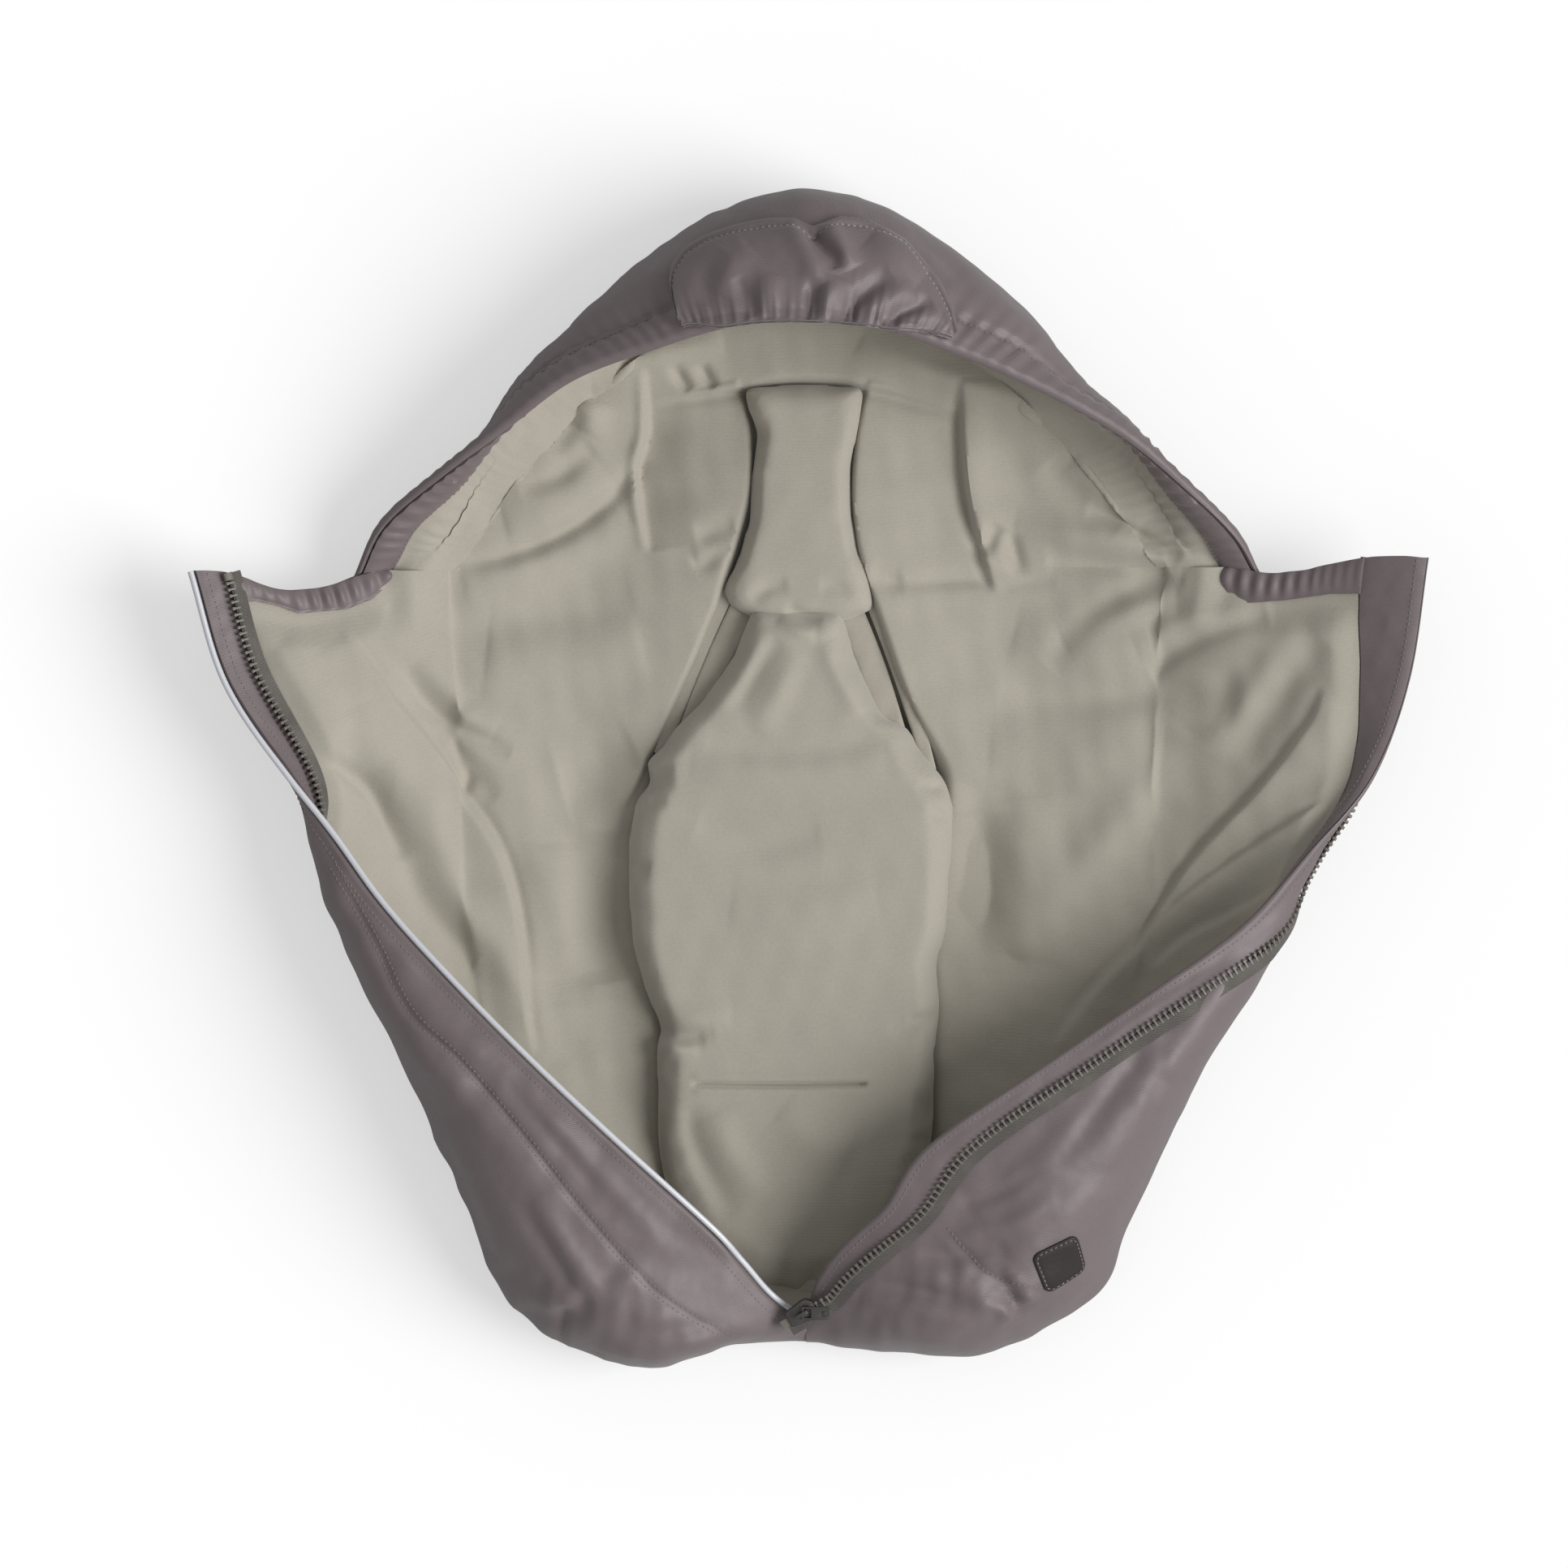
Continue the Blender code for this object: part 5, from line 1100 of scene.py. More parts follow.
def quilted_lining(name, wall, s, start, counts, thin, softened, seam_width, thinner=1.0, extra=0.0):
    """A quilt from its seam down the wall and over the floor; it thins towards its seams.

    thin is its share of thickness at the seam; softened and seam_width are the widths over which thickness
    and folds grow from there."""
    whole = wall.full_reach(s)
    top, under = columns(start, whole, counts[0]), columns(start, whole - 3 * MM, counts[1])
    low = SHELL_THICK + GAP
    thick = QUILT * (thin + (1 - thin) * soft_step((top - start[:, None]) / softened) ** 0.7)
    thick = thick * soft_step((whole[:, None] - top) / (14 * MM)) ** 0.5 * 0.75 + thick * 0.25
    distance = around(top, under)
    depth = around(low + thick * thinner, np.full_like(under, low))

    def lift(points):
        x, y = points[..., 0], points[..., 1]
        rise = FOLD_STRENGTH * FOLDS_IN(x, y) + crinkle(points, 25, 1.0 * MM)
        rise = rise + fillet(wall.reach(s)[:, None] - distance) + extra * pulled_in(distance, start)
        rise = rise * soft_step((distance - start[:, None]) / seam_width)
        rise = rise * soft_step((whole[:, None] - distance) / (12 * MM))
        return front_only(np.maximum(rise, 2.5 * MM + low - depth), counts[0])

    return sweep(name, wall, s, distance, depth, LINING_CLOTH, lift)


def pulled_in(distance, start):
    """How strongly a seam's gathers show at a distance."""
    return np.exp(-(distance - start[:, None]) / (24 * MM))


print("the lining starts", round((SHELL_THICK + GAP) / MM, 1), "mm below the outside of the shell")

# %% [markdown]
# ## The two side walls
# Part of each wall folds in over the child, although it is one length of cloth. It could be cut at the
# fold, but a cut would open when the flap moves. So each piece follows the muff near the back and the
# flap near the rim, and bends softly between.

# %% Side walls
# The corners of the shell's edge, from its outside inwards: (distance, depth) in millimetres
SHELL_EDGE = {"left": ((1.2, 0.35), (0.35, 1.1), (0.05, 2.2), (0.5, 3.1)),
              "right": ((0.6, 0.1), (-1.2, 0.9), (-2.2, 2.4), (-2.0, 3.4))}
# Where the shell is bunched: (pixel across, pixel down, size in millimetres)
RUMPLED = {"left": ((705, 1605, 26), (800, 1645, 22), (560, 1330, 18)),
           "right": ((1245, 1595, 24), (1180, 1575, 22), (1100, 1610, 20), (1420, 1330, 20))}


def rumple(side, x, y):
    """Short crumples at the corners of the foot, where the shell is bunched; sizes in millimetres."""
    near = 0.0
    for px, py, size in RUMPLED[side]:
        cx, cy = plan(px, py)
        near = near + hill(np.hypot(x - cx, y - cy), size * MM)
    return np.minimum(near, 1.0) * waves(x, y, 0.028, 61, 2) * 1.5 * MM


def ride_wall(piece, side):
    """The cloth bends along a slanting line, from the hood's foot down to the rim below the flap."""
    way = -1 if side == "left" else 1
    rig.blend(piece, "muff", f"{side}_flap",
             start=(way * 0.266, 0.129, 0.027), end=(way * 0.304, 0.143, 0.044))


def build_wall(side):
    wall = WALLS[side]
    s = rows_between(0, FOOT, wall)
    reach = wall.reach(s)
    inset = inset_of(side)
    seam = inset(s) + TAPE_SHOW[side]
    if side == "right":
        stations, widths = zip(*RIGHT_BAND)
        seam = np.interp(s, stations, widths) * MM
    zero = np.zeros(len(s))
    seed = {"left": 5, "right": 9}[side]

    # Outer shell: the outside carries its folds outwards, away from the quilt
    count = 110
    distance, depth = shell_section(columns(zero + 2.2 * MM, reach, count),
                                    columns(zero + 3.0 * MM, reach, 40), SHELL_EDGE[side])

    def lift_out(points):
        x, y = points[..., 0], points[..., 1]
        rise = FOLDS_OUT[side](x, y) + crinkle(points, seed, 1.1 * MM) + rumple(side, x, y)
        puff = 2.0 * MM * np.sin(np.pi * np.clip(distance / reach[:, None], 0, 1)) ** 0.5
        out = (rise + puff) * soft_step(distance / (14 * MM))
        return front_only(-out * soft_step((reach[:, None] - distance) / (25 * MM)), count)

    shell = sweep(f"{side}_outer_shell", wall, s, distance, depth, SHELL_CLOTH, lift_out)
    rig.replaces(shell, f"{side}_side_shell", f"{side}_front_shell", f"{side}_flap_shell")
    ride_wall(shell, side)

    # Lining: thin under the gathered facing, so that the facing lies flat on it
    start = seam + 1.0 * MM
    top = columns(start, wall.full_reach(s), 170)
    on_flap = soft_step((reach[:, None] - top - 42 * MM) / (14 * MM))
    beside = soft_step((s - facing_end(wall)) / 0.35)[:, None]
    lining = quilted_lining(f"{side}_quilted_lining", wall, s, start, (170, 60), 0.35, 16 * MM, 18 * MM,
                            thinner=1 - 0.75 * on_flap * (1 - beside))
    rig.replaces(lining, f"{side}_side_lining", f"{side}_front_lining", f"{side}_flap_lining",
                f"{side}_back_pad")
    ride_wall(lining, side)

    # The shell turned in over the zip edge
    face, back = columns(zero + 0.4 * MM, seam, 18), columns(zero + 0.8 * MM, seam, 10)
    low = SHELL_THICK + GAP
    deep = low + FACING * (0.75 + 0.25 * np.sin(np.pi * np.clip(face / seam[:, None], 0, 1)))
    distance_face, depth_face = around(face, back), around(deep, np.full_like(back, low))
    if side == "right":  # it rolls out over the rim
        depth_face[:, face.shape[1] - 1] -= 2.4 * MM
        distance_face[:, face.shape[1] - 1] = -1.6 * MM

    def lift_face(points):
        return waves(points[..., 0], points[..., 1], 0.035, seed + 3) * 0.35 * MM * (distance_face > 2 * MM)

    name = {"left": "storm_flap", "right": "wind_flap"}[side]
    facing = sweep(f"{side}_turned_edge", wall, s, distance_face, depth_face, SHELL_CLOTH, lift_face)
    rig.replaces(facing, f"{side}_{name}", f"{side}_flap_{name}")
    ride_wall(facing, side)
    return {"rows": len(s), "seam": float(seam[0]), "inset": inset, "reach": float(reach[0])}


SIDES = {side: build_wall(side) for side in ("left", "right")}
print({side: info["rows"] for side, info in SIDES.items()}, "rows")

# %% [markdown]
# ## The zip
# The left half of the zip lies on the inner face of its flap, the right half on the outside of its
# panel. From afar a striped strip would do, but each tooth throws a shadow, so each half is a real
# chain. Its path keeps a side and an up direction, so that teeth, cord and tape turn together.

# %% Paths of the zip
class Path:
    """A smooth line with its side and up directions, read by length."""

    def __init__(self, places, sides, ups):
        self.places = np.array(places)
        along = np.gradient(self.places, axis=0)
        along /= np.linalg.norm(along, axis=1, keepdims=True)
        side = np.array(sides)
        side = side - along * (side * along).sum(axis=1, keepdims=True)
        self.sides = side / np.linalg.norm(side, axis=1, keepdims=True)
        up = np.cross(along, self.sides)
        self.ups = up * np.sign((up * np.array(ups)).sum(axis=1, keepdims=True))
        self.run = length_along(self.places)
        self.length = float(self.run[-1])

    def frame(self, a):
        """Places, side directions and up directions at lengths a."""
        return [read_along(a, self.run, values) for values in (self.places, self.sides, self.ups)]


def circle(centre, radius, count):
    """A round profile of (side, up) pairs in millimetres."""
    return [(centre + radius * math.cos(t), radius * math.sin(t))
            for t in np.linspace(0, 2 * math.pi, count + 1)[:-1]]


def swept_profile(name, path, a, profile, material):
    """profile: closed loop of (side, up) pairs in millimetres, carried along the path at lengths a."""
    place, side, up = path.frame(a)
    profile = np.array(profile) * MM
    loops = place[:, None] + side[:, None] * profile[None, :, :1] + up[:, None] * profile[None, :, 1:]
    return loops_to_piece(name, loops, material)


LAST_TOOTH = {"left": FOOT - 0.76, "right": 10.857}  # the stations where the halves leave their walls
ZIP_END = (-13.0, -336.0, 62.0)  # where the right half runs to from there, in millimetres


def zip_path(side):
    wall, inset = WALLS[side], SIDES[side]["inset"]
    outside = side == "right"
    depth = -3.0 * MM if outside else SHELL_THICK + GAP + FACING + 3.0 * MM
    last = LAST_TOOTH[side]
    s = rows_between(0, last, wall, 2.0)
    middle, normals = wall.surface(s, inset(s)[:, None])
    rimward, _ = wall.surface(s, inset(s)[:, None] - 4 * MM)
    places = (middle + normals * depth)[:, 0]
    sides = (rimward - middle)[:, 0]
    ups = normals[:, 0] * (-1 if outside else 1)
    if outside:
        end = np.array(ZIP_END) * MM
        count = int(np.linalg.norm(end - places[-1]) / (2 * MM))
        share = np.linspace(0, 1, count + 1)[1:, None]
        places = np.concatenate([places, places[-1] + (end - places[-1]) * share])
        sides = np.concatenate([sides, np.repeat(sides[-1:], count, axis=0)])
        ups = np.concatenate([ups, np.repeat(ups[-1:], count, axis=0)])
    return Path(places, sides, ups)


ZIPS = {side: zip_path(side) for side in ("left", "right")}
print("zip halves:", {side: round(path.length, 3) for side, path in ZIPS.items()}, "m")

# %% [markdown]
# ## Tapes, chains and stops
# Each half has a woven tape, a cord on its edge, a tooth every four millimetres and a moulded stop at
# its upper end. They could be modelled flat and bent, but carried along one path they sit on each other
# at every bend.

# %% Tapes, chains and stops
TAPE_PROFILE = ((1.0, -0.35), (1.0, 0.35), (-2.6, 0.4), (-7.8, 0.35), (-7.8, -0.35), (-2.6, -0.4))
STOP_PROFILE = ((-1.6, -1.5), (-1.6, 1.5), (-1.0, 1.9), (3.2, 1.9), (4.0, 1.4), (4.0, -1.4), (3.2, -1.9),
                (-1.0, -1.9))


def build_zip(side):
    path = ZIPS[side]
    a = np.arange(STOP_LENGTH + GAP + 1 * MM, path.length - 2 * MM, ZIP_PITCH)
    place, rimward, up = path.frame(a)
    chain = repeat_along(f"{side}_zip_teeth", place, np.cross(rimward, up), up, TOOTH, TEETH, 0.02, 2)
    whole = np.arange(0.5 * MM, path.length, 2 * MM)
    cord = swept_profile(f"{side}_zip_cord", path, whole, circle(-0.6, 1.1, 10), TAPE_CLOTH)
    tape = swept_profile(f"{side}_tape", path, whole, TAPE_PROFILE, TAPE_CLOTH)
    stop = swept_profile(f"{side}_top_stop", path, np.linspace(0.2 * MM, STOP_LENGTH, 4), STOP_PROFILE,
                         TEETH)
    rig.replaces(chain, f"{side}_zip_chain", f"{side}_flap_zip_chain")
    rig.replaces(tape, f"{side}_zip_tape", f"{side}_flap_zip_tape")
    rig.replaces(stop, f"{side}_zip_top_stop")
    for piece in (chain, cord, tape, stop):
        ride_wall(piece, side)
    return len(a)


print("teeth:", {side: build_zip(side) for side in ZIPS})

# %% [markdown]
# ## Piping
# A silver piping that reflects light follows the left rim. A bevelled curve could make it, but the
# profile of the zip's cord, made thicker, keeps to the wall's own normal all the way round.

# %% Piping
def build_piping():
    wall = WALLS["left"]
    s = rows_between(0, FOOT, wall, 3.0)[:-2]
    zero = np.zeros((len(s), 1))
    rim, normals = wall.surface(s, zero)
    beyond, _ = wall.surface(s, zero - 3 * MM)
    path = Path((rim + normals * 3.6 * MM)[:, 0], (beyond - rim)[:, 0], normals[:, 0])
    piping = swept_profile("silver_piping", path, np.arange(0, path.length, 2.5 * MM), circle(2.4, 1.9, 12),
                           PIPING)
    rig.replaces(piping, "reflective_piping", "left_flap_piping")
    ride_wall(piping, "left")


build_piping()
print("piping done")

# %% [markdown]
# ## Gathered facings
# The facing along each flap's top edge is drawn up on a thread, so it ripples: short waves, strong at
# the stitch line and uneven in width. A plain sine would look like a machine part, so the pitch and the
# height of the waves wander.

# %% Gathered facings
def ripple(run, seed, pitch):
    """Uneven gathers along a length: a wave whose pitch and height wander."""
    random = np.random.default_rng(seed)
    knots = np.arange(0, run[-1] + 4 * pitch, 2 * pitch)
    phase = np.interp(run, knots, np.cumsum(random.uniform(0.7, 1.3, len(knots)) * 2 * 2 * np.pi) - 2)
    height = np.interp(run, knots, random.uniform(0.45, 1.0, len(knots)))
    return np.sin(phase) * height


def scattered(wall, s, distance):
    """Points and normals at single (station, distance) pairs of any shape."""
    points, normals = wall.surface(s.reshape(-1), distance.reshape(-1, 1))
    return points.reshape(*s.shape, 3), normals.reshape(*s.shape, 3)


# The gathered band's inner edge on each flap, in millimetres from the frame's origin: (aside, up the muff)
BAND_EDGE = {
    "left": ((255, 134), (261, 122.5), (274.5, 111.5), (290, 105), (319, 102.5), (330, 107), (344, 110),
             (380, 109)),
    "right": ((250, 134), (256, 122), (264, 115), (276, 109), (298, 110.5), (317, 113), (328, 114.5),
              (382, 115)),
}
BAND_POINTS = 22  # points across the band, on each of its faces


def build_top_facing(side):
    """The gathered band along a flap's free top edge; it runs on into the band of the hood."""
    wall, info = WALLS[side], SIDES[side]
    first = info["seam"] - 3 * MM
    probe = np.linspace(first, info["reach"], 300)
    x = np.abs(wall.surface(np.zeros(1), probe[None, :])[0][0, :, 0])
    line_x, line_y = np.array(BAND_EDGE[side]).T * MM
    last = float(np.interp(-line_x[0], -x, probe))
    along = np.linspace(first, last, 150)
    edge_y = np.interp(np.interp(along, probe, x), line_x, line_y)
    stations = np.linspace(0, 1.2, 50)
    grid_s, grid_d = np.meshgrid(stations, along, indexing="ij")
    y = scattered(wall, grid_s, grid_d)[0][..., 1]
    ends = np.array([np.interp(-edge_y[k], -y[:, k], stations) for k in range(len(along))])
    share = np.concatenate([np.linspace(0, 1, BAND_POINTS), np.linspace(1, 0, BAND_POINTS)])
    s = np.maximum(ends, 0.02)[:, None] * share[None, :]
    d = np.repeat(along[:, None], 2 * BAND_POINTS, axis=1)
    gather = ripple(along, {"left": 3, "right": 8}[side], 9 * MM)[:, None]
    pulled = soft_step((along - first - 25 * MM) / (40 * MM))[:, None]
    body = 1.0 * MM + 3.0 * MM * np.sin(np.pi * np.clip(share[None, :] + 0.08, 0.04, 0.97)) ** 0.6
    swell = np.sin(np.pi * np.clip(share * 0.8 + 0.2, 0, 1))
    body = body + 1.5 * MM * gather * (0.25 + 0.75 * pulled) * swell
    low = SHELL_THICK + GAP + 3.4 * MM
    depth = np.where(np.arange(2 * BAND_POINTS) < BAND_POINTS, low + body, low - 1.2 * MM)
    points, normals = scattered(wall, s, d)
    facing = loops_to_piece(f"{side}_gathered_top_facing", points + normals * depth[..., None], SHELL_CLOTH)
    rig.replaces(facing, f"{side}_flap_top_facing")
    ride_wall(facing, side)


for side in SIDES:
    build_top_facing(side)
print("gathered facings done")

# %% [markdown]
# ## The hood
# The hood's edge is a casing with an elastic in it, which draws shell and lining into small gathers. A
# cloth simulation could puff it up, but the gathers have to meet the facings of the flaps. So the hood
# has the same sections as the side walls, with the gathers as a wave along its rim.

# %% Hood shell, lining and gathered casing
HOOD_OUT = Folds(
    (3, 12, (700, 400), (780, 360), (860, 310)),
    (-3, 7, (650, 470), (720, 420), (800, 385)),
    (3, 10, (1180, 340), (1230, 390), (1290, 440)),
    (-3, 7, (1200, 420), (1290, 455), (1380, 520)),
    (3, 8, (1190, 395), (1260, 430), (1340, 470)),
    (2.5, 10, (900, 262), (980, 255), (1060, 262)),
    (-2, 6, (640, 440), (700, 400), (770, 350)),
    (-2, 5, (1120, 290), (1160, 320), (1200, 365)),
)
HOOD_EDGE = ((0.6, 0.1), (-1.4, 1.0), (-2.6, 3.0), (-2.6, 5.0), (-1.6, 6.4), (0.6, 6.0), (1.6, 4.0))


def build_hood():
    wall = WALLS["hood"]
    s = rows_between(0, CROWN, wall)
    reach = wall.reach(s)
    zero = np.zeros(len(s))
    ends = (soft_step(s / 0.8) * soft_step((CROWN - s) / 0.8))[:, None]
    gather = ripple(wall.rim_run(s), 21, 11 * MM)[:, None]

    count = 80
    distance, depth = shell_section(columns(zero + 2.4 * MM, reach, count),
                                    columns(zero + 3.0 * MM, reach, 30), HOOD_EDGE)

    def lift(points):
        rise = HOOD_OUT(points[..., 0], points[..., 1]) + crinkle(points, 31, 0.9 * MM)
        groove = -2.2 * MM * hill(distance - CASING_WIDTH, 2.6 * MM)
        casing = 1.8 * MM * hill(distance - 10 * MM, 8 * MM)
        pulled = gather * 1.6 * MM * np.exp(-np.abs(distance - 16 * MM) / (14 * MM))
        puff = 2.5 * MM * soft_step((distance - CASING_WIDTH) / (30 * MM))
        out = rise * soft_step(distance / (25 * MM)) + groove + casing + pulled + puff
        out = out * soft_step((reach[:, None] - distance) / (18 * MM))
        return front_only(-out * ends, count + 2)

    shell = sweep("hood_outer_shell", wall, s, distance, depth, SHELL_CLOTH, lift)
    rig.replaces(shell, "hood_shell")
    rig.ride(shell, "muff")

    lining = quilted_lining("hood_quilted_lining", wall, s, zero + CASING_WIDTH - 1.0 * MM, (120, 50), 0.3,
                            18 * MM, 8 * MM, extra=gather * 2.0 * MM * ends)
    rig.replaces(lining, "hood_lining", "head_pad")
    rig.ride(lining, "muff")

    face = columns(zero + 1.2 * MM, zero + CASING_WIDTH, 22)
    back = columns(zero + 2.0 * MM, zero + CASING_WIDTH, 10)
    share = face / CASING_WIDTH
    deep = 6.2 * MM + 3.4 * MM * np.sin(np.pi * np.clip(share, 0, 1)) ** 0.6
    deep = deep + gather * 1.4 * MM * np.sin(np.pi * np.clip(share * 0.8 + 0.2, 0, 1)) * ends
    band = sweep("gathered_hood_band", wall, s, around(face, back),
                 around(deep, np.full_like(back, 4.4 * MM)), SHELL_CLOTH)
    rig.replaces(band, "hood_casing", "hood_elastic")
    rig.ride(band, "muff")
    return len(s)


print("hood rows:", build_hood())

# %% [markdown]
# ## The visor
# A soft peak is folded back over the hood. It is sewn to the hood's edge in many small gathers, which
# fan out from there, and one deep pleat stands in its middle. A flat sheet with a Bend modifier could
# stand in for it. It is swept along the hood's own wall instead, because then it follows the rim that it
# is sewn to.

# %% Visor
# How far the visor reaches back from the hood's rim: (station, millimetres)
VISOR_REACH = ((5.42, 8), (5.47, 34), (5.55, 46), (5.7, 56), (5.9, 60), (6.2, 62), (6.5, 63), (6.8, 62),
               (7, 56), (7.15, 60), (7.3, 65), (7.6, 66), (8, 58), (8.2, 47.5), (8.4, 37), (8.6, 23),
               (8.78, 7))
VISOR_FIRST, VISOR_LAST = VISOR_REACH[0][0], VISOR_REACH[-1][0]
VISOR_HEM = 6.5 * MM  # how far the stitches of its hem lie from its outer edge
VISOR_HANG = 8 * MM  # how far the gathered edge stands beyond the hood's rim
VISOR_FOLDS = Folds(
    (-5, 4, (985, 272), (997, 289), (1008, 306), (1024, 322), (1028, 340)),
    (4, 6, (1008, 278), (1022, 296), (1036, 318), (1046, 340)),
    (3.5, 7, (972, 285), (985, 305), (1000, 335), (1008, 360)),
    (-2.5, 5, (930, 398), (926, 378), (912, 352)),
    (2.5, 7, (948, 398), (948, 374), (956, 345)),
    (-3.5, 4, (996, 402), (1000, 376), (1002, 352)),
    (3.5, 6, (1016, 402), (1020, 376), (1030, 350)),
    (-3.5, 5, (1040, 404), (1056, 374), (1090, 348)),
    (3.5, 7, (1060, 404), (1080, 384), (1118, 364)),
    (-3, 4, (1082, 408), (1106, 392), (1140, 378)),
    (2.5, 6, (1104, 414), (1128, 402), (1152, 394)),
    (2.5, 9, (890, 372), (905, 340), (930, 315)),
    (-2, 7, (872, 385), (880, 350), (898, 322)),
    (3, 12, (1070, 300), (1098, 325), (1130, 350)),
)


def ride_visor(piece):
    """The gathered edge stays sewn to the hood's rim; the peak bends up from it."""
    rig.blend(piece, "muff", "visor", start=(0.0, 0.280, 0.13), end=(0.0, 0.298, 0.13))


def build_visor():
    wall = WALLS["hood"]
    s = rows_between(VISOR_FIRST, VISOR_LAST, wall, 1.5)
    stations, reaches = zip(*VISOR_REACH)
    reach = np.interp(s, stations, reaches) * MM
    hang = VISOR_HANG * soft_step((s - VISOR_FIRST) / 0.5) * soft_step((VISOR_LAST - s) / 0.9)
    run = wall.rim_run(s)
    gather = (ripple(run, 12, 7 * MM) + 0.5 * ripple(run, 14, 4.5 * MM))[:, None]
    ends = (soft_step((s - VISOR_FIRST) / 0.1) * soft_step((VISOR_LAST - s) / 0.1))[:, None]

    def layer(name, outer, under, nodes):
        up = columns(-hang, reach, 70)
        down = columns(0.6 * MM - hang, reach - 0.6 * MM, 70)
        distance = np.concatenate([up, down[:, ::-1]], axis=1)
        depth = np.concatenate([np.full_like(up, -outer), np.full_like(down, -under)], axis=1)

        def lift(points):
            fan = gather * 0.8 * MM * np.exp(-np.maximum(distance, 0) / (9 * MM))
            rise = 1.35 * VISOR_FOLDS(points[..., 0], points[..., 1]) + crinkle(points, 51, 1.0 * MM)
            puff = 3.2 * MM * np.sin(np.pi * np.clip(distance / reach[:, None], 0, 1)) ** 0.7
            to_hem = reach[:, None] - distance
            hem = 1.6 * MM * hill(to_hem - VISOR_HEM, 1.8 * MM)
            edge = soft_step(np.minimum(distance + hang[:, None], to_hem) / (2.0 * MM)) * 0.8 + 0.2
            return -(fan * ends + rise * soft_step(to_hem / (8 * MM)) + puff - hem) * edge

        piece = sweep(name, wall, s, distance, depth, SHELL_CLOTH, lift)
        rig.replaces(piece, *nodes)
        ride_visor(piece)

    layer("visor_cover", 7.4 * MM, 4.6 * MM, ("visor_shell", "visor_stiffener"))
    layer("visor_underside", 4.2 * MM, 2.4 * MM, ("visor_facing",))
    return s, reach


VISOR = build_visor()
print("visor rows:", len(VISOR[0]))

# %% [markdown]
# ## The back
# A quilted layer lies on a plain shell, and the harness comes through slots in both. The packed solids
# have these openings already. They could be drawn again, but it is surer to remesh them finely enough to
# look soft.

# %% Back
def evened(made, voxel):
    """Give the object a modifier that remeshes it with even faces."""
    modifier = made.modifiers.new("even", "REMESH")
    modifier.mode, modifier.voxel_size = "VOXEL", voxel


def remeshed(name, node, voxel, smooth=0):
    made = placed(name, frame["nodes"][node].data.copy())
    evened(made, voxel)
    if smooth:
        softer = made.modifiers.new("soften", "SMOOTH")
        softer.factor, softer.iterations = 0.5, smooth
    return applied(made)


def coords(mesh):
    co = np.empty(len(mesh.vertices) * 3)
    mesh.vertices.foreach_get("co", co)
    return co.reshape(-1, 3)


def set_coords(mesh, co):
    mesh.vertices.foreach_set("co", np.asarray(co).reshape(-1))
    mesh.update()


def dressed(made, material):
    made.data.materials.clear()
    made.data.materials.append(material)
    made.data.shade_smooth()


def build_back():
    under = remeshed("back_outer_shell", "back_shell", 4 * MM)
    dressed(under, SHELL_CLOTH)
    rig.replaces(under, "back_shell")
    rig.ride(under, "muff")
    top = remeshed("back_quilted_lining", "back_wadding", 3.2 * MM, 2)
    co = coords(top.data)
    co[:, 2] -= 9 * MM * soft_step((co[:, 2] - 6 * MM) / (6 * MM))  # it lies under the side walls' lining
    set_coords(top.data, co)
    dressed(top, LINING_CLOTH)
    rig.replaces(top, "back_wadding")
    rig.ride(top, "muff")


build_back()
print("back done")

# %% [markdown]
# ## Creases of the pads
# The pads are pressed and pulled where they are sewn to the back: at the waist, beside the slots and in
# front of the crotch strap. They could be left plain, but smooth pads look blown up. Their creases are
# laid along the photographed ones.

# %% Folds of the pads
PAD_FOLDS = Folds(
    (-3, 6, (960, 785), (930, 830), (905, 880)),
    (3, 8, (985, 800), (960, 850), (930, 900)),
    (-3, 6, (1045, 785), (1062, 820), (1085, 860)),
    (3, 8, (1020, 790), (1035, 830), (1060, 880)),
    (-2.5, 9, (870, 915), (960, 930), (1040, 922), (1100, 900)),
    (3, 12, (850, 945), (960, 950), (1090, 935)),
    (-3, 6, (806, 1268), (840, 1275), (880, 1272)),
    (2.5, 8, (820, 1250), (860, 1255), (900, 1250)),
    (-2, 6, (1163, 1240), (1130, 1262), (1095, 1270)),
    (-3, 7, (850, 1360), (855, 1410), (905, 1500)),
    (3, 10, (880, 1370), (900, 1420), (940, 1480)),
    (3, 14, (960, 1370), (1000, 1400), (1050, 1420)),
    (-3.5, 5, (800, 1262), (822, 1272), (846, 1280), (868, 1278)),
    (3, 5, (800, 1285), (830, 1292), (860, 1290)),
    (-3, 4, (1164, 1246), (1140, 1256), (1118, 1256)),
    (-3, 4, (780, 985), (800, 990), (822, 986)),
    (-3, 5, (797, 940), (812, 948), (830, 946)),
    (-3, 4, (1170, 965), (1150, 970), (1132, 964)),
    (-3, 5, (925, 740), (945, 725), (970, 720)),
    (-3.5, 4, (1012, 768), (990, 762), (968, 748)),
    (3.5, 5, (1005, 780), (985, 775), (960, 762)),
    (-3.5, 4, (1178, 1010), (1160, 1004), (1146, 1006)),
    (-3.5, 5, (772, 1075), (786, 1070), (800, 1074)),
    (-3, 10, (860, 1015), (930, 1040), (1010, 1030)),
    (3, 16, (900, 1120), (990, 1130), (1080, 1110)),
    (-2, 5, (1050, 735), (1030, 722), (1010, 722)),
)
print("pad folds:", len(PAD_FOLDS.lines))

# %% [markdown]
# ## Filling a pad
# A pad is two pieces of jersey sewn together and stuffed. A subdivided block has sides that are too
# even. So a low closed body is filled by a short cloth simulation with pressure and no gravity, which
# rounds the rim as stuffing does, and no point may move further than a few millimetres.

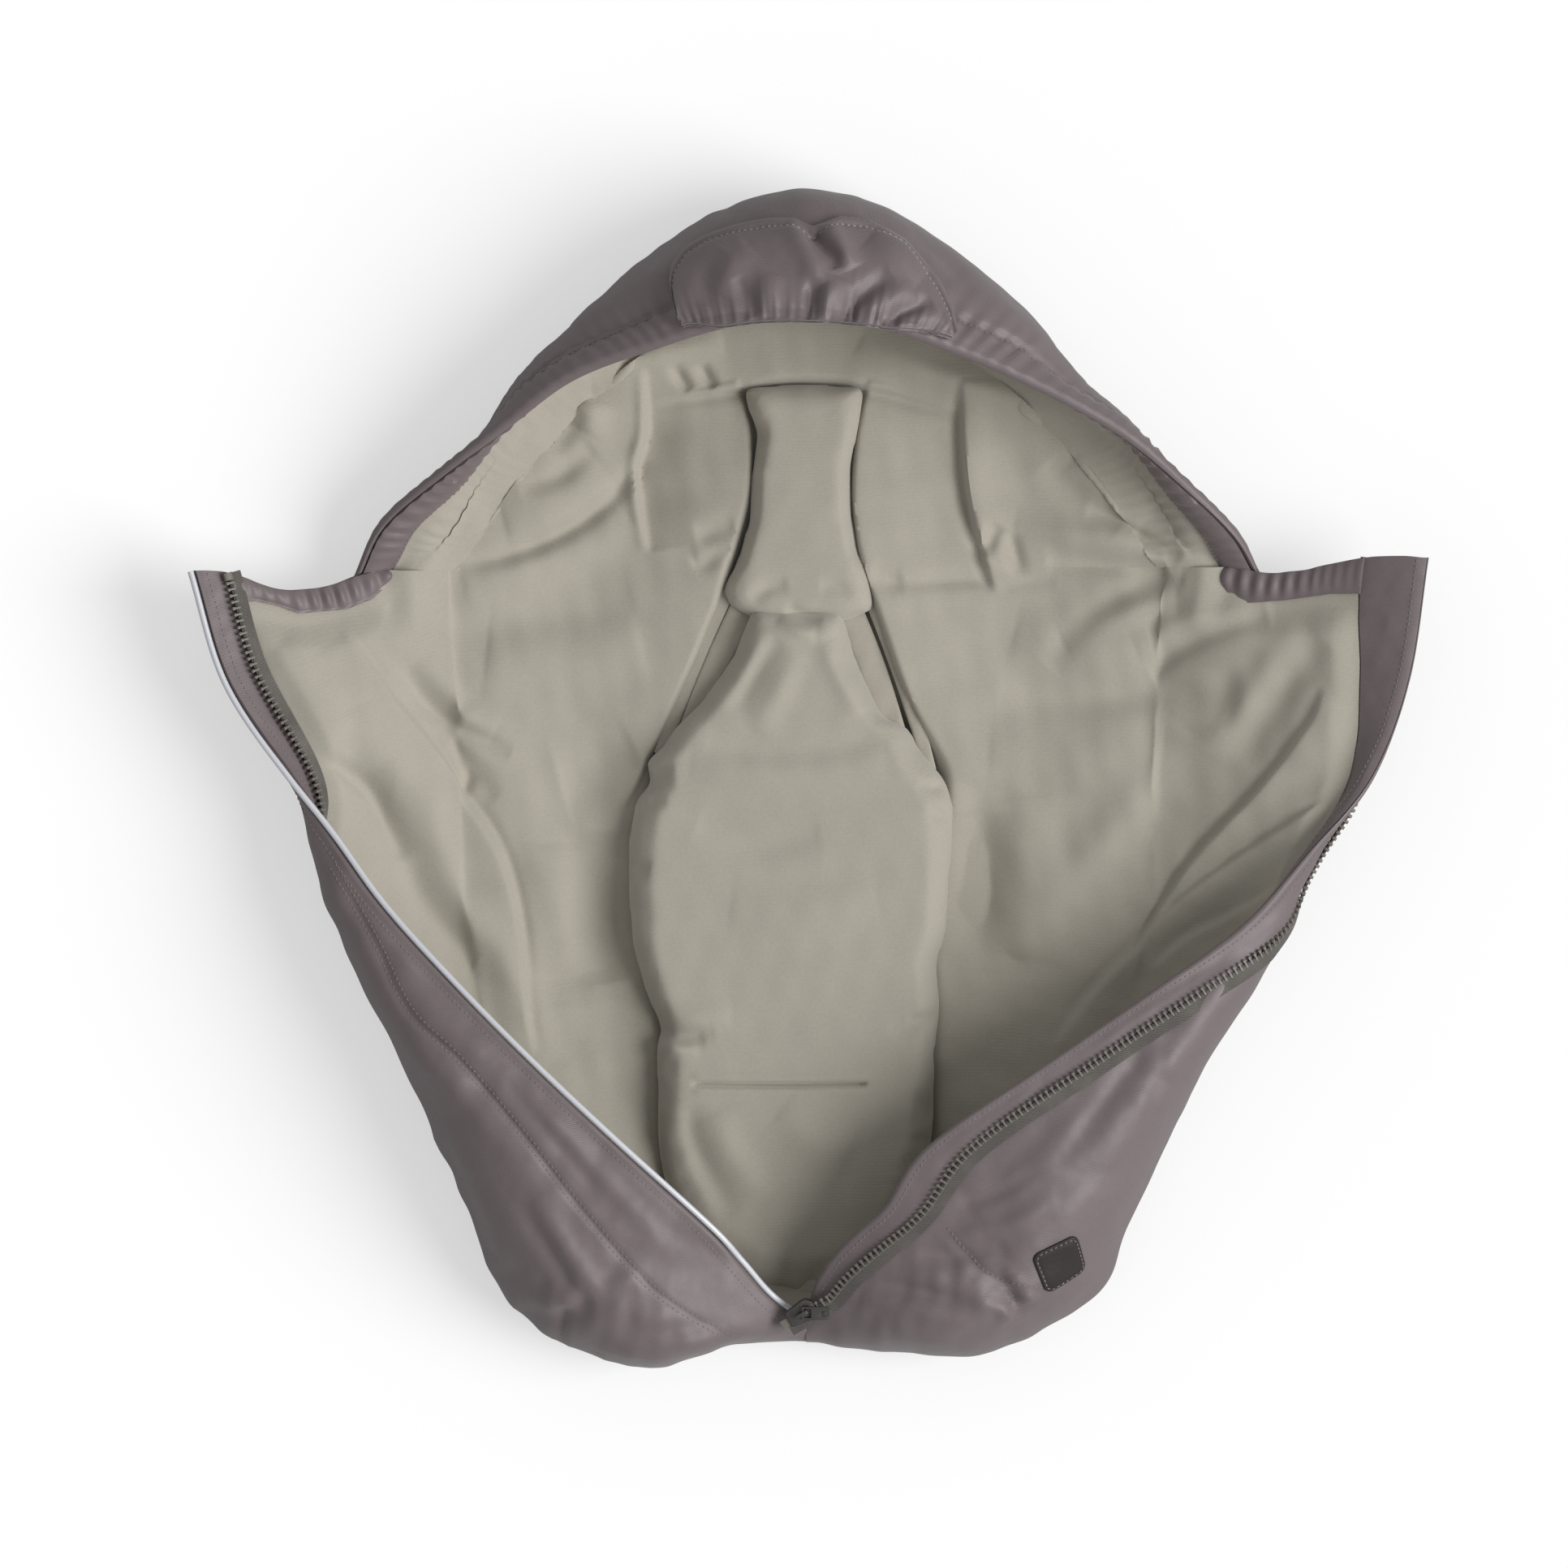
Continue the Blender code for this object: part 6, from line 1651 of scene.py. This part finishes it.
# %% Shape, filling and slit of a pad
def pillow(name, outline, spine, base, height, round_by):
    """A closed pad over an outline in photograph pixels, rounded at its rim and highest along its spine."""
    corners = np.array([plan(*p) for p in outline])
    closed = np.vstack([corners, corners[:1]])
    run = length_along(closed)
    edge = read_along(np.arange(0, run[-1], 2.5 * MM), run, closed)
    low, high = (np.array(plan(*p)) for p in spine)
    f = np.clip(((edge - low) @ (high - low)) / ((high - low) @ (high - low)), 0, 1)[:, None]
    inner = low + (high - low) * f
    width = np.linalg.norm(inner - edge, axis=1)
    edge = edge + (edge - inner) / width[:, None] * 2 * MM  # the remesh takes this much away again
    rings = []
    for part in (-1, 1):
        for u in (0, 0.015, 0.04, 0.08, 0.14, 0.22, 0.32, 0.5, 0.75, 0.96)[::part]:
            place = edge + (inner - edge) * u
            rise = np.sqrt(1 - (1 - np.clip(width * u / round_by, 0, 1)) ** 2)
            z = base + (height * rise if part < 0 else -1.5 * MM * rise) + 1.5 * MM
            rings.append(np.concatenate([place, z[:, None]], axis=1))
    del rings[len(rings) // 2]
    return loops_to_piece(name, np.array(rings), LINING_CLOTH)


def filled(made, cap, pressure, frames=20):
    """Blow the pad up as cloth, moving no point more than cap metres."""
    rest = coords(made.data)
    modifier = made.modifiers.new("Cloth", "CLOTH")
    settings = modifier.settings
    settings.quality, settings.mass = 5, 0.3
    settings.tension_stiffness = settings.compression_stiffness = 15
    settings.shear_stiffness, settings.bending_stiffness = 5, 0.5
    settings.use_pressure = True
    settings.uniform_pressure_force = pressure
    settings.effector_weights.gravity = 0.0
    modifier.point_cache.frame_start, modifier.point_cache.frame_end = 1, frames
    scene = bpy.context.scene
    for number in range(1, frames + 1):
        scene.frame_set(number)
    graph = bpy.context.evaluated_depsgraph_get()
    blown = coords(made.evaluated_get(graph).to_mesh())
    made.evaluated_get(graph).to_mesh_clear()
    made.modifiers.clear()
    scene.frame_set(1)
    move = (blown - rest) * (0.3, 0.3, 1.0)
    size = np.linalg.norm(move, axis=1, keepdims=True)
    set_coords(made.data, rest + move * np.minimum(1.0, cap / np.maximum(size, 1e-9)))


def cut_slit(co, high):
    """The crotch strap's slit: the nearest row of points is drawn onto its line and pushed down."""
    (left, middle), (right, _) = plan(849, 1335), plan(1074, 1335)
    x, y = co[:, 0], co[:, 1]
    line = middle - 1.2 * MM * np.sin((x - left) / (right - left) * np.pi)
    inside = soft_step((x - left) / (7 * MM)) * soft_step((right - x) / (7 * MM)) * high
    away = np.abs(y - line)
    on_line = (away < 1.05 * MM) & (inside > 0.25)
    co[:, 1] = np.where(on_line, line, y)
    co[:, 2] += np.where(on_line, -7 * MM, 1.0 * MM * np.exp(-((away - 4 * MM) / (3 * MM)) ** 2)) * inside


print("the slit is", round((plan(1074, 0)[0] - plan(849, 0)[0]) / MM), "mm long")

# %% [markdown]
# ## Seat cushion and neck cushion
# The long seat cushion runs down into the foot and is cut by the crotch strap's slit. The small neck
# cushion lies between the shoulder slots. They are two bodies, as on the real muff, so that each can be
# soft by itself. After filling they get their creases and the puckers of their seams.

# %% Seat cushion and neck cushion
def build_pad(name, nodes, outline, spine, base, height, round_by, cap, pucker, seed):
    pad = pillow(name, outline, spine, base, height, round_by)
    evened(pad, 4 * MM)
    applied(pad)
    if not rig.quick():
        filled(pad, cap, 4.0)
    finer = pad.modifiers.new("finer", "SUBSURF")
    finer.levels = finer.render_levels = 1
    applied(pad)
    co = coords(pad.data)
    line = np.array([plan(*p) for p in (*outline, outline[0])])
    edge, place, _ = nearest_on(co[:, 0], co[:, 1], line)
    where = np.interp(place, np.arange(len(line)), length_along(line))
    high = soft_step((co[:, 2] - base - 0.3 * height) / (0.5 * height))
    order = np.argsort(where)
    gather = np.zeros(len(co))
    gather[order] = ripple(where[order], seed, 22 * MM)
    uneven = np.clip(waves(co[:, 0], co[:, 1], 0.09, seed + 5) + 0.5, 0, 1)
    rise = PAD_FOLDS(co[:, 0], co[:, 1]) * soft_step(edge / (7 * MM))
    rise += gather * uneven * pucker * np.exp(-edge / (9 * MM))
    rise += waves(co[:, 0], co[:, 1], 0.07, seed) * 0.6 * MM
    co[:, 2] += (rise - 12 * MM * soft_step((-co[:, 1] - 0.2) / 0.1)) * high  # it sinks towards the toe
    cut_slit(co, high)
    set_coords(pad.data, co)
    dressed(pad, LINING_CLOTH)
    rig.replaces(pad, *nodes)
    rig.ride(pad, "muff")
    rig.padded(pad, fill=0.6)


SEAT_OUTLINE = (
    (930, 746), (1035, 750), (1052, 800), (1064, 826), (1093, 878), (1122, 894), (1136, 922),
    (1166, 960), (1176, 990), (1175, 1060), (1172, 1140), (1163, 1190), (1164, 1240), (1158, 1300),
    (1155, 1344), (1152, 1400), (1142, 1460), (1118, 1530), (1060, 1590), (985, 1606), (920, 1590),
    (850, 1540), (816, 1450), (808, 1400), (806, 1344), (802, 1290), (806, 1268), (790, 1225),
    (775, 1160), (772, 1100), (773, 1030), (781, 985), (797, 962), (795, 934), (815, 915), (826, 897),
    (862, 859), (900, 807),
)
NECK_OUTLINE = (
    (919, 477), (990, 475), (1063, 477), (1059, 514), (1051, 576), (1053, 637), (1060, 684), (1070, 708),
    (1074, 744), (1070, 754), (1037, 766), (1004, 769), (980, 781), (952, 770), (926, 760), (902, 748),
    (892, 727), (907, 694), (921, 642), (926, 576), (933, 533), (922, 500),
)
build_pad("seat_cushion", ("seat_pad", "foot_pad"), SEAT_OUTLINE, ((978, 850), (980, 1530)),
          12.5 * MM, 20 * MM, 14 * MM, 6 * MM, 1.2 * MM, 71)
build_pad("neck_cushion", ("neck_pad",), NECK_OUTLINE, ((990, 520), (985, 735)),
          12.5 * MM, 15 * MM, 11 * MM, 3 * MM, 1.0 * MM, 72)
print("cushions:", [piece.name for piece in bpy.data.objects if piece.name.endswith("cushion")])

# %% [markdown]
# ## Facings beside the slots
# Each shoulder slot is bound by two narrow strips of lining. They could be part of the pads, but on the
# real muff they lie between pads and quilt, as flat rolls that swell in the middle.

# %% Slot facings
SLOT_HEIGHT = 14.2 * MM


def slot_facing(name, first, last, widths):
    """A flat strip of lining beside a harness slot, between two places in the photograph."""
    ends = np.array([plan(*first), plan(*last)])
    share = np.linspace(0, 1, 30)[:, None]
    across = np.array([ends[0, 1] - ends[1, 1], ends[1, 0] - ends[0, 0]])
    across = across / np.linalg.norm(across)
    bow = np.sin(np.pi * share) * 1.6 * MM * np.sign(ends[1, 0] - ends[0, 0])
    middle = ends[0] + (ends[1] - ends[0]) * share + across * bow
    half = np.interp(share[:, 0], (0, 1), widths) * MM / 2
    turn = np.linspace(0, 2 * math.pi, 21)[:-1]
    flat = np.sign(np.cos(turn)) * np.abs(np.cos(turn)) ** 0.6
    bulge = np.sign(np.sin(turn)) * np.abs(np.sin(turn)) ** 0.6 * 2.4 * MM
    loops = np.empty((len(share), len(turn), 3))
    loops[..., :2] = middle[:, None] + across * (half[:, None] * flat[None, :])[..., None]
    loops[..., 2] = SLOT_HEIGHT + bulge[None, :] + waves(loops[..., 0], loops[..., 1], 0.025, 81) * 0.7 * MM
    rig.ride(loops_to_piece(name, loops, LINING_CLOTH), "muff")


for name, first, last, widths in (("left_slot_facing_outer", (898, 718), (814, 930), (12, 9)),
                                  ("left_slot_facing_inner", (921, 742), (846, 905), (18, 12)),
                                  ("right_slot_facing_inner", (1043, 750), (1102, 905), (19, 15)),
                                  ("right_slot_facing_outer", (1074, 725), (1146, 950), (14, 8))):
    slot_facing(name, first, last, widths)
print("slot facings done")

# %% [markdown]
# ## Leather patch
# The patch lies bare on the right foot corner, sewn down near its edge. A Shrinkwrap modifier could lay
# a plate on the cloth. Rays are cast instead, because the patch's own stitches then find the same
# places.

# %% Patch
def rounded_square(side, corner, steps=6):
    half, straight = side / 2, side / 2 - corner
    edge = []
    for turn in range(4):
        cos, sin = math.cos(turn * math.pi / 2), math.sin(turn * math.pi / 2)
        points = [(half, y) for y in np.linspace(-straight, straight, 9)[:-1]]
        points += [(straight + corner * math.cos(a), straight + corner * math.sin(a))
                   for a in np.linspace(0, math.pi / 2, steps + 1)[:-1]]
        edge += [(x * cos - y * sin, x * sin + y * cos) for x, y in points]
    return np.array(edge)


def tree_of(made):
    mesh = made.data
    mesh.calc_loop_triangles()
    return BVHTree.FromPolygons([v.co for v in mesh.vertices], [t.vertices for t in mesh.loop_triangles])


PATCH_PIXEL = (1307, 1557)  # the patch's middle in the photograph
PATCH_TURN = 20  # degrees
# The patch from its edge inwards: (share of its width, millimetres high), with a groove for the stitches
PATCH_PROFILE = ((1.0, 0.0), (0.995, 0.9), (0.97, 1.35), (0.92, 1.5), (0.86, 1.15), (0.8, 1.45), (0.65, 1.5),
                 (0.5, 1.5), (0.35, 1.5), (0.2, 1.5), (0.08, 1.5))


def build_patch():
    tree = tree_of(bpy.data.objects["right_outer_shell"])
    place, normal, _, _ = tree.ray_cast(Vector((*plan(*PATCH_PIXEL), 1.0)), Vector((0, 0, -1)))
    u = Vector((1, math.tan(math.radians(PATCH_TURN)), 0))
    u = (u - normal * u.dot(normal)).normalized()
    v = normal.cross(u)

    def on_cloth(x, y, height):
        start = place + u * x + v * y + normal * 0.03
        return tree.ray_cast(start, -normal)[0] + normal * height

    edge = rounded_square(31 * MM, 5.5 * MM)
    bm = bmesh.new()
    rings = [[bm.verts.new(on_cloth(x, y, (height + 0.2) * MM)) for x, y in edge * share]
             for share, height in PATCH_PROFILE]
    for low, high in zip(rings, rings[1:]):
        for i in range(len(low)):
            j = (i + 1) % len(low)
            bm.faces.new((low[i], low[j], high[j], high[i]))
    bm.faces.new(rings[-1])
    bm.faces.new(rings[0][::-1])
    patch = finish_mesh("bare_leather_patch", bm, LEATHER, 40)
    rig.replaces(patch, "leather_patch")
    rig.ride(patch, "muff")
    loop = rounded_square(31 * MM * 0.88, 4.6 * MM, 8)
    loop = np.vstack([loop, loop[:1]])
    run = length_along(loop)
    a = np.arange(0, run[-1] - 1 * MM, 3.4 * MM)
    place_2d, ahead = read_along(a, run, loop), read_along(a + 0.5 * MM, run, loop)
    threads = repeat_along("patch_stitches", [on_cloth(x, y, 1.75 * MM) for x, y in place_2d],
                           [u * x + v * y for x, y in ahead - place_2d], [normal] * len(a), STITCH, THREAD)
    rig.ride(threads, "muff")


build_patch()
print("patch done")

# %% [markdown]
# ## Slider, pull and end stop
# These are the muff's hard parts. They could be modelled afresh, but then they might no longer fit the
# chain, so they keep the packed shapes and get rounded edges that catch the light, in worn gunmetal or
# in the teeth's own material.

# %% Slider and pull
def rounded(name, node, width, body):
    """A packed solid with its edges rounded, in worn metal."""
    made = placed(name, frame["nodes"][node].data.copy())
    bm = bmesh.new()
    bm.from_mesh(made.data)
    bmesh.ops.remove_doubles(bm, verts=bm.verts, dist=1e-6)
    bmesh.ops.dissolve_limit(bm, angle_limit=math.radians(2), verts=bm.verts, edges=bm.edges)
    bm.to_mesh(made.data)
    bm.free()
    modifier = made.modifiers.new("round", "BEVEL")
    modifier.width, modifier.segments, modifier.limit_method = width, 3, "ANGLE"
    modifier.angle_limit = math.radians(35)
    applied(made)
    dressed(made, METAL)
    made.data.set_sharp_from_angle(angle=math.radians(50))
    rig.replaces(made, node)
    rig.ride(made, body)
    return made


rounded("slider_body", "zip_slider", 0.35 * MM, "slider")
rounded("slider_pull", "zip_pull", 0.4 * MM, "pull")
stop = rounded("zip_end_stop", "zip_bottom_stop", 0.4 * MM, "muff")
stop.data.materials[0] = TEETH
print("slider, pull and end stop done")

# %% [markdown]
# ## Stitching
# Every visible seam is a row of single threads, sunk into the cloth at their ends. A bump texture could
# hint at them, but it would not follow a rippled edge. So each thread is dropped on the finished cloth
# and lies the way the cloth lies there.

# %% Stitch rows
STITCH_PITCH = 3.6 * MM


def sewn(name, piece, places, ahead, ups, high, thread, by_face=False):
    """Stitches set down on the piece's real surface from high above their places.

    With by_face they follow the surface's own normal, and none is sewn over a step in the cloth."""
    tree = tree_of(bpy.data.objects[piece])
    points, along, raised = [], [], []
    for p, q, up in zip(places, ahead, ups):
        hit, normal, _, _ = tree.ray_cast(Vector(p + up * high), Vector(-up), 2 * high)
        other = tree.ray_cast(Vector(q + up * high), Vector(-up), 2 * high)[0]
        if hit is None or other is None or by_face and (other - hit).length > 4 * MM:
            continue
        up = normal if by_face else Vector(up)
        points.append(hit + up * 0.15 * MM)
        along.append(other - hit)
        raised.append(up)
    return repeat_along(name, points, along, raised, STITCH, thread)


def stitch_row(name, piece, s, distance, wall, outwards, thread=THREAD):
    """Stitches along a line of a wall, on its outside or on its inside."""
    line, normals = wall.surface(s, distance[:, None])
    line, normals = line[:, 0], normals[:, 0] * (-1 if outwards else 1)
    run = length_along(line)
    a = np.arange(1 * MM, run[-1] - 1 * MM, STITCH_PITCH)
    return sewn(name, piece, read_along(a, run, line), read_along(a + 1 * MM, run, line),
                read_along(a, run, normals), 0.03, thread)


def seam_row(name, side, shift):
    """Stitches along a shell's panel seam, dropped on it from above; shift moves them sideways."""
    pixels = SEAMS[side]
    line = spline(np.array([plan(*p) for p in pixels]), np.linspace(0, len(pixels) - 1, 12 * len(pixels)))
    run = length_along(line)
    a = np.arange(1 * MM, run[-1] - 1 * MM, STITCH_PITCH)
    place, ahead = read_along(a, run, line), read_along(a + 1 * MM, run, line)
    way = (ahead - place) / np.linalg.norm(ahead - place, axis=1, keepdims=True)
    aside = np.stack([-way[:, 1], way[:, 0]], axis=1) * shift
    flat = [np.pad(points + aside, ((0, 0), (0, 1))) for points in (place, ahead)]
    return sewn(name, f"{side}_outer_shell", *flat, [UP] * len(a), 0.5, THREAD, by_face=True)


def build_stitches():
    """Sew every row; returns how many there are."""
    rows = []
    for side, shifts in (("left", (2.0, -2.0)), ("right", (1.6,))):
        for number, shift in enumerate(shifts):
            rows.append(seam_row(f"{side}_panel_seam_{number}", side, shift * MM))
            ride_wall(rows[-1], side)
    for side, edge in (("left", 7.0), ("right", 4.0)):
        wall = WALLS[side]
        s = rows_between(0.02, FOOT - 0.1, wall, 2.0)
        for place, piece in (("inside", "turned_edge"), ("outside", "outer_shell")):
            rows.append(stitch_row(f"{side}_edge_stitches_{place}", f"{side}_{piece}", s,
                                   np.full(len(s), edge * MM), wall, place == "outside"))
            ride_wall(rows[-1], side)
    wall = WALLS["hood"]
    s = rows_between(0.1, CROWN - 0.1, wall, 2.0)
    for place, piece, edge in (("outside", "hood_outer_shell", 21.0),
                               ("inside", "gathered_hood_band", 20.0)):
        rows.append(stitch_row(f"hood_casing_stitches_{place}", piece, s, np.full(len(s), edge * MM),
                               wall, place == "outside"))
        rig.ride(rows[-1], "muff")
    s, reach = VISOR
    inner = s[(s > VISOR_FIRST + 0.06) & (s < VISOR_LAST - 0.1)]
    rows.append(stitch_row("visor_stitches", "visor_cover", inner, np.interp(inner, s, reach) - VISOR_HEM,
                           wall, True, PALE_THREAD))
    ride_visor(rows[-1])
    return len(rows)


print("stitch rows:", build_stitches())
for prototype in (STITCH, TOOTH):
    bpy.data.objects.remove(prototype)

# %% [markdown]
# ## Studio
# The muff lies on a white table and is photographed from straight above. Several lamps could carve it
# out more, but one window and an even sky keep the colours as they are written. The window stands to the
# right and above, so that the shadow falls softly to the left.

# %% Floor, lights and camera
TABLE_WHITE = 0.52  # how bright the table shows to the camera
SUN_ENERGY, SUN_WIDTH = 2.6, 38  # the window's strength, and its width in degrees
SUN_TURN, SUN_HEIGHT = -12, 42  # degrees from the right and above the table
SKY = 0.42
VIEW_WIDTH, CAMERA_PLACE = 0.966, (-0.014, -0.0025, 3.0)  # metres


def white_floor():
    material, node = shader("white table", Roughness=0.9, Specular_IOR_Level=0.1)
    node.inputs["Base Color"].default_value = (0.5, 0.5, 0.5, 1.0)
    tree = material.node_tree
    path = tree.nodes.new("ShaderNodeLightPath")
    seen = math_node(tree, "MULTIPLY", path.outputs["Is Camera Ray"], TABLE_WHITE)
    tree.links.new(seen, node.inputs["Emission Color"])
    node.inputs["Emission Strength"].default_value = 1.0
    bm = bmesh.new()
    bmesh.ops.create_grid(bm, x_segments=2, y_segments=2, size=7)
    mesh = bpy.data.meshes.new("table_top")
    bm.to_mesh(mesh)
    bm.free()
    mesh.materials.append(material)
    table = placed("table_top", mesh)
    table.location.z = -0.4 * MM
    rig.stage(table)


white_floor()
key = bpy.data.lights.new("window", "SUN")
key.energy, key.angle = SUN_ENERGY, math.radians(SUN_WIDTH)
turn, rise = math.radians(SUN_TURN), math.radians(SUN_HEIGHT)
towards = Vector((math.cos(turn), math.sin(turn), math.tan(rise)))
placed("window", key).rotation_euler = towards.to_track_quat("Z", "Y").to_euler()
world = bpy.data.worlds.new("studio")
world.use_nodes = True
world.node_tree.nodes["Background"].inputs[0].default_value = (1, 1, 1, 1)
world.node_tree.nodes["Background"].inputs[1].default_value = SKY
scene = bpy.context.scene
scene.world = world
scene.view_settings.view_transform = "Standard"

data = bpy.data.cameras.new("photo camera")
data.type, data.ortho_scale = "ORTHO", VIEW_WIDTH
camera = placed("photo camera", data)
camera.location = CAMERA_PLACE
scene.camera = camera

with open("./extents.json", "w") as out:
    json.dump({"cad": CAD_BOX, "visual": [list(corner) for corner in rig.bounds()]}, out)
print(json.load(open("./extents.json")))
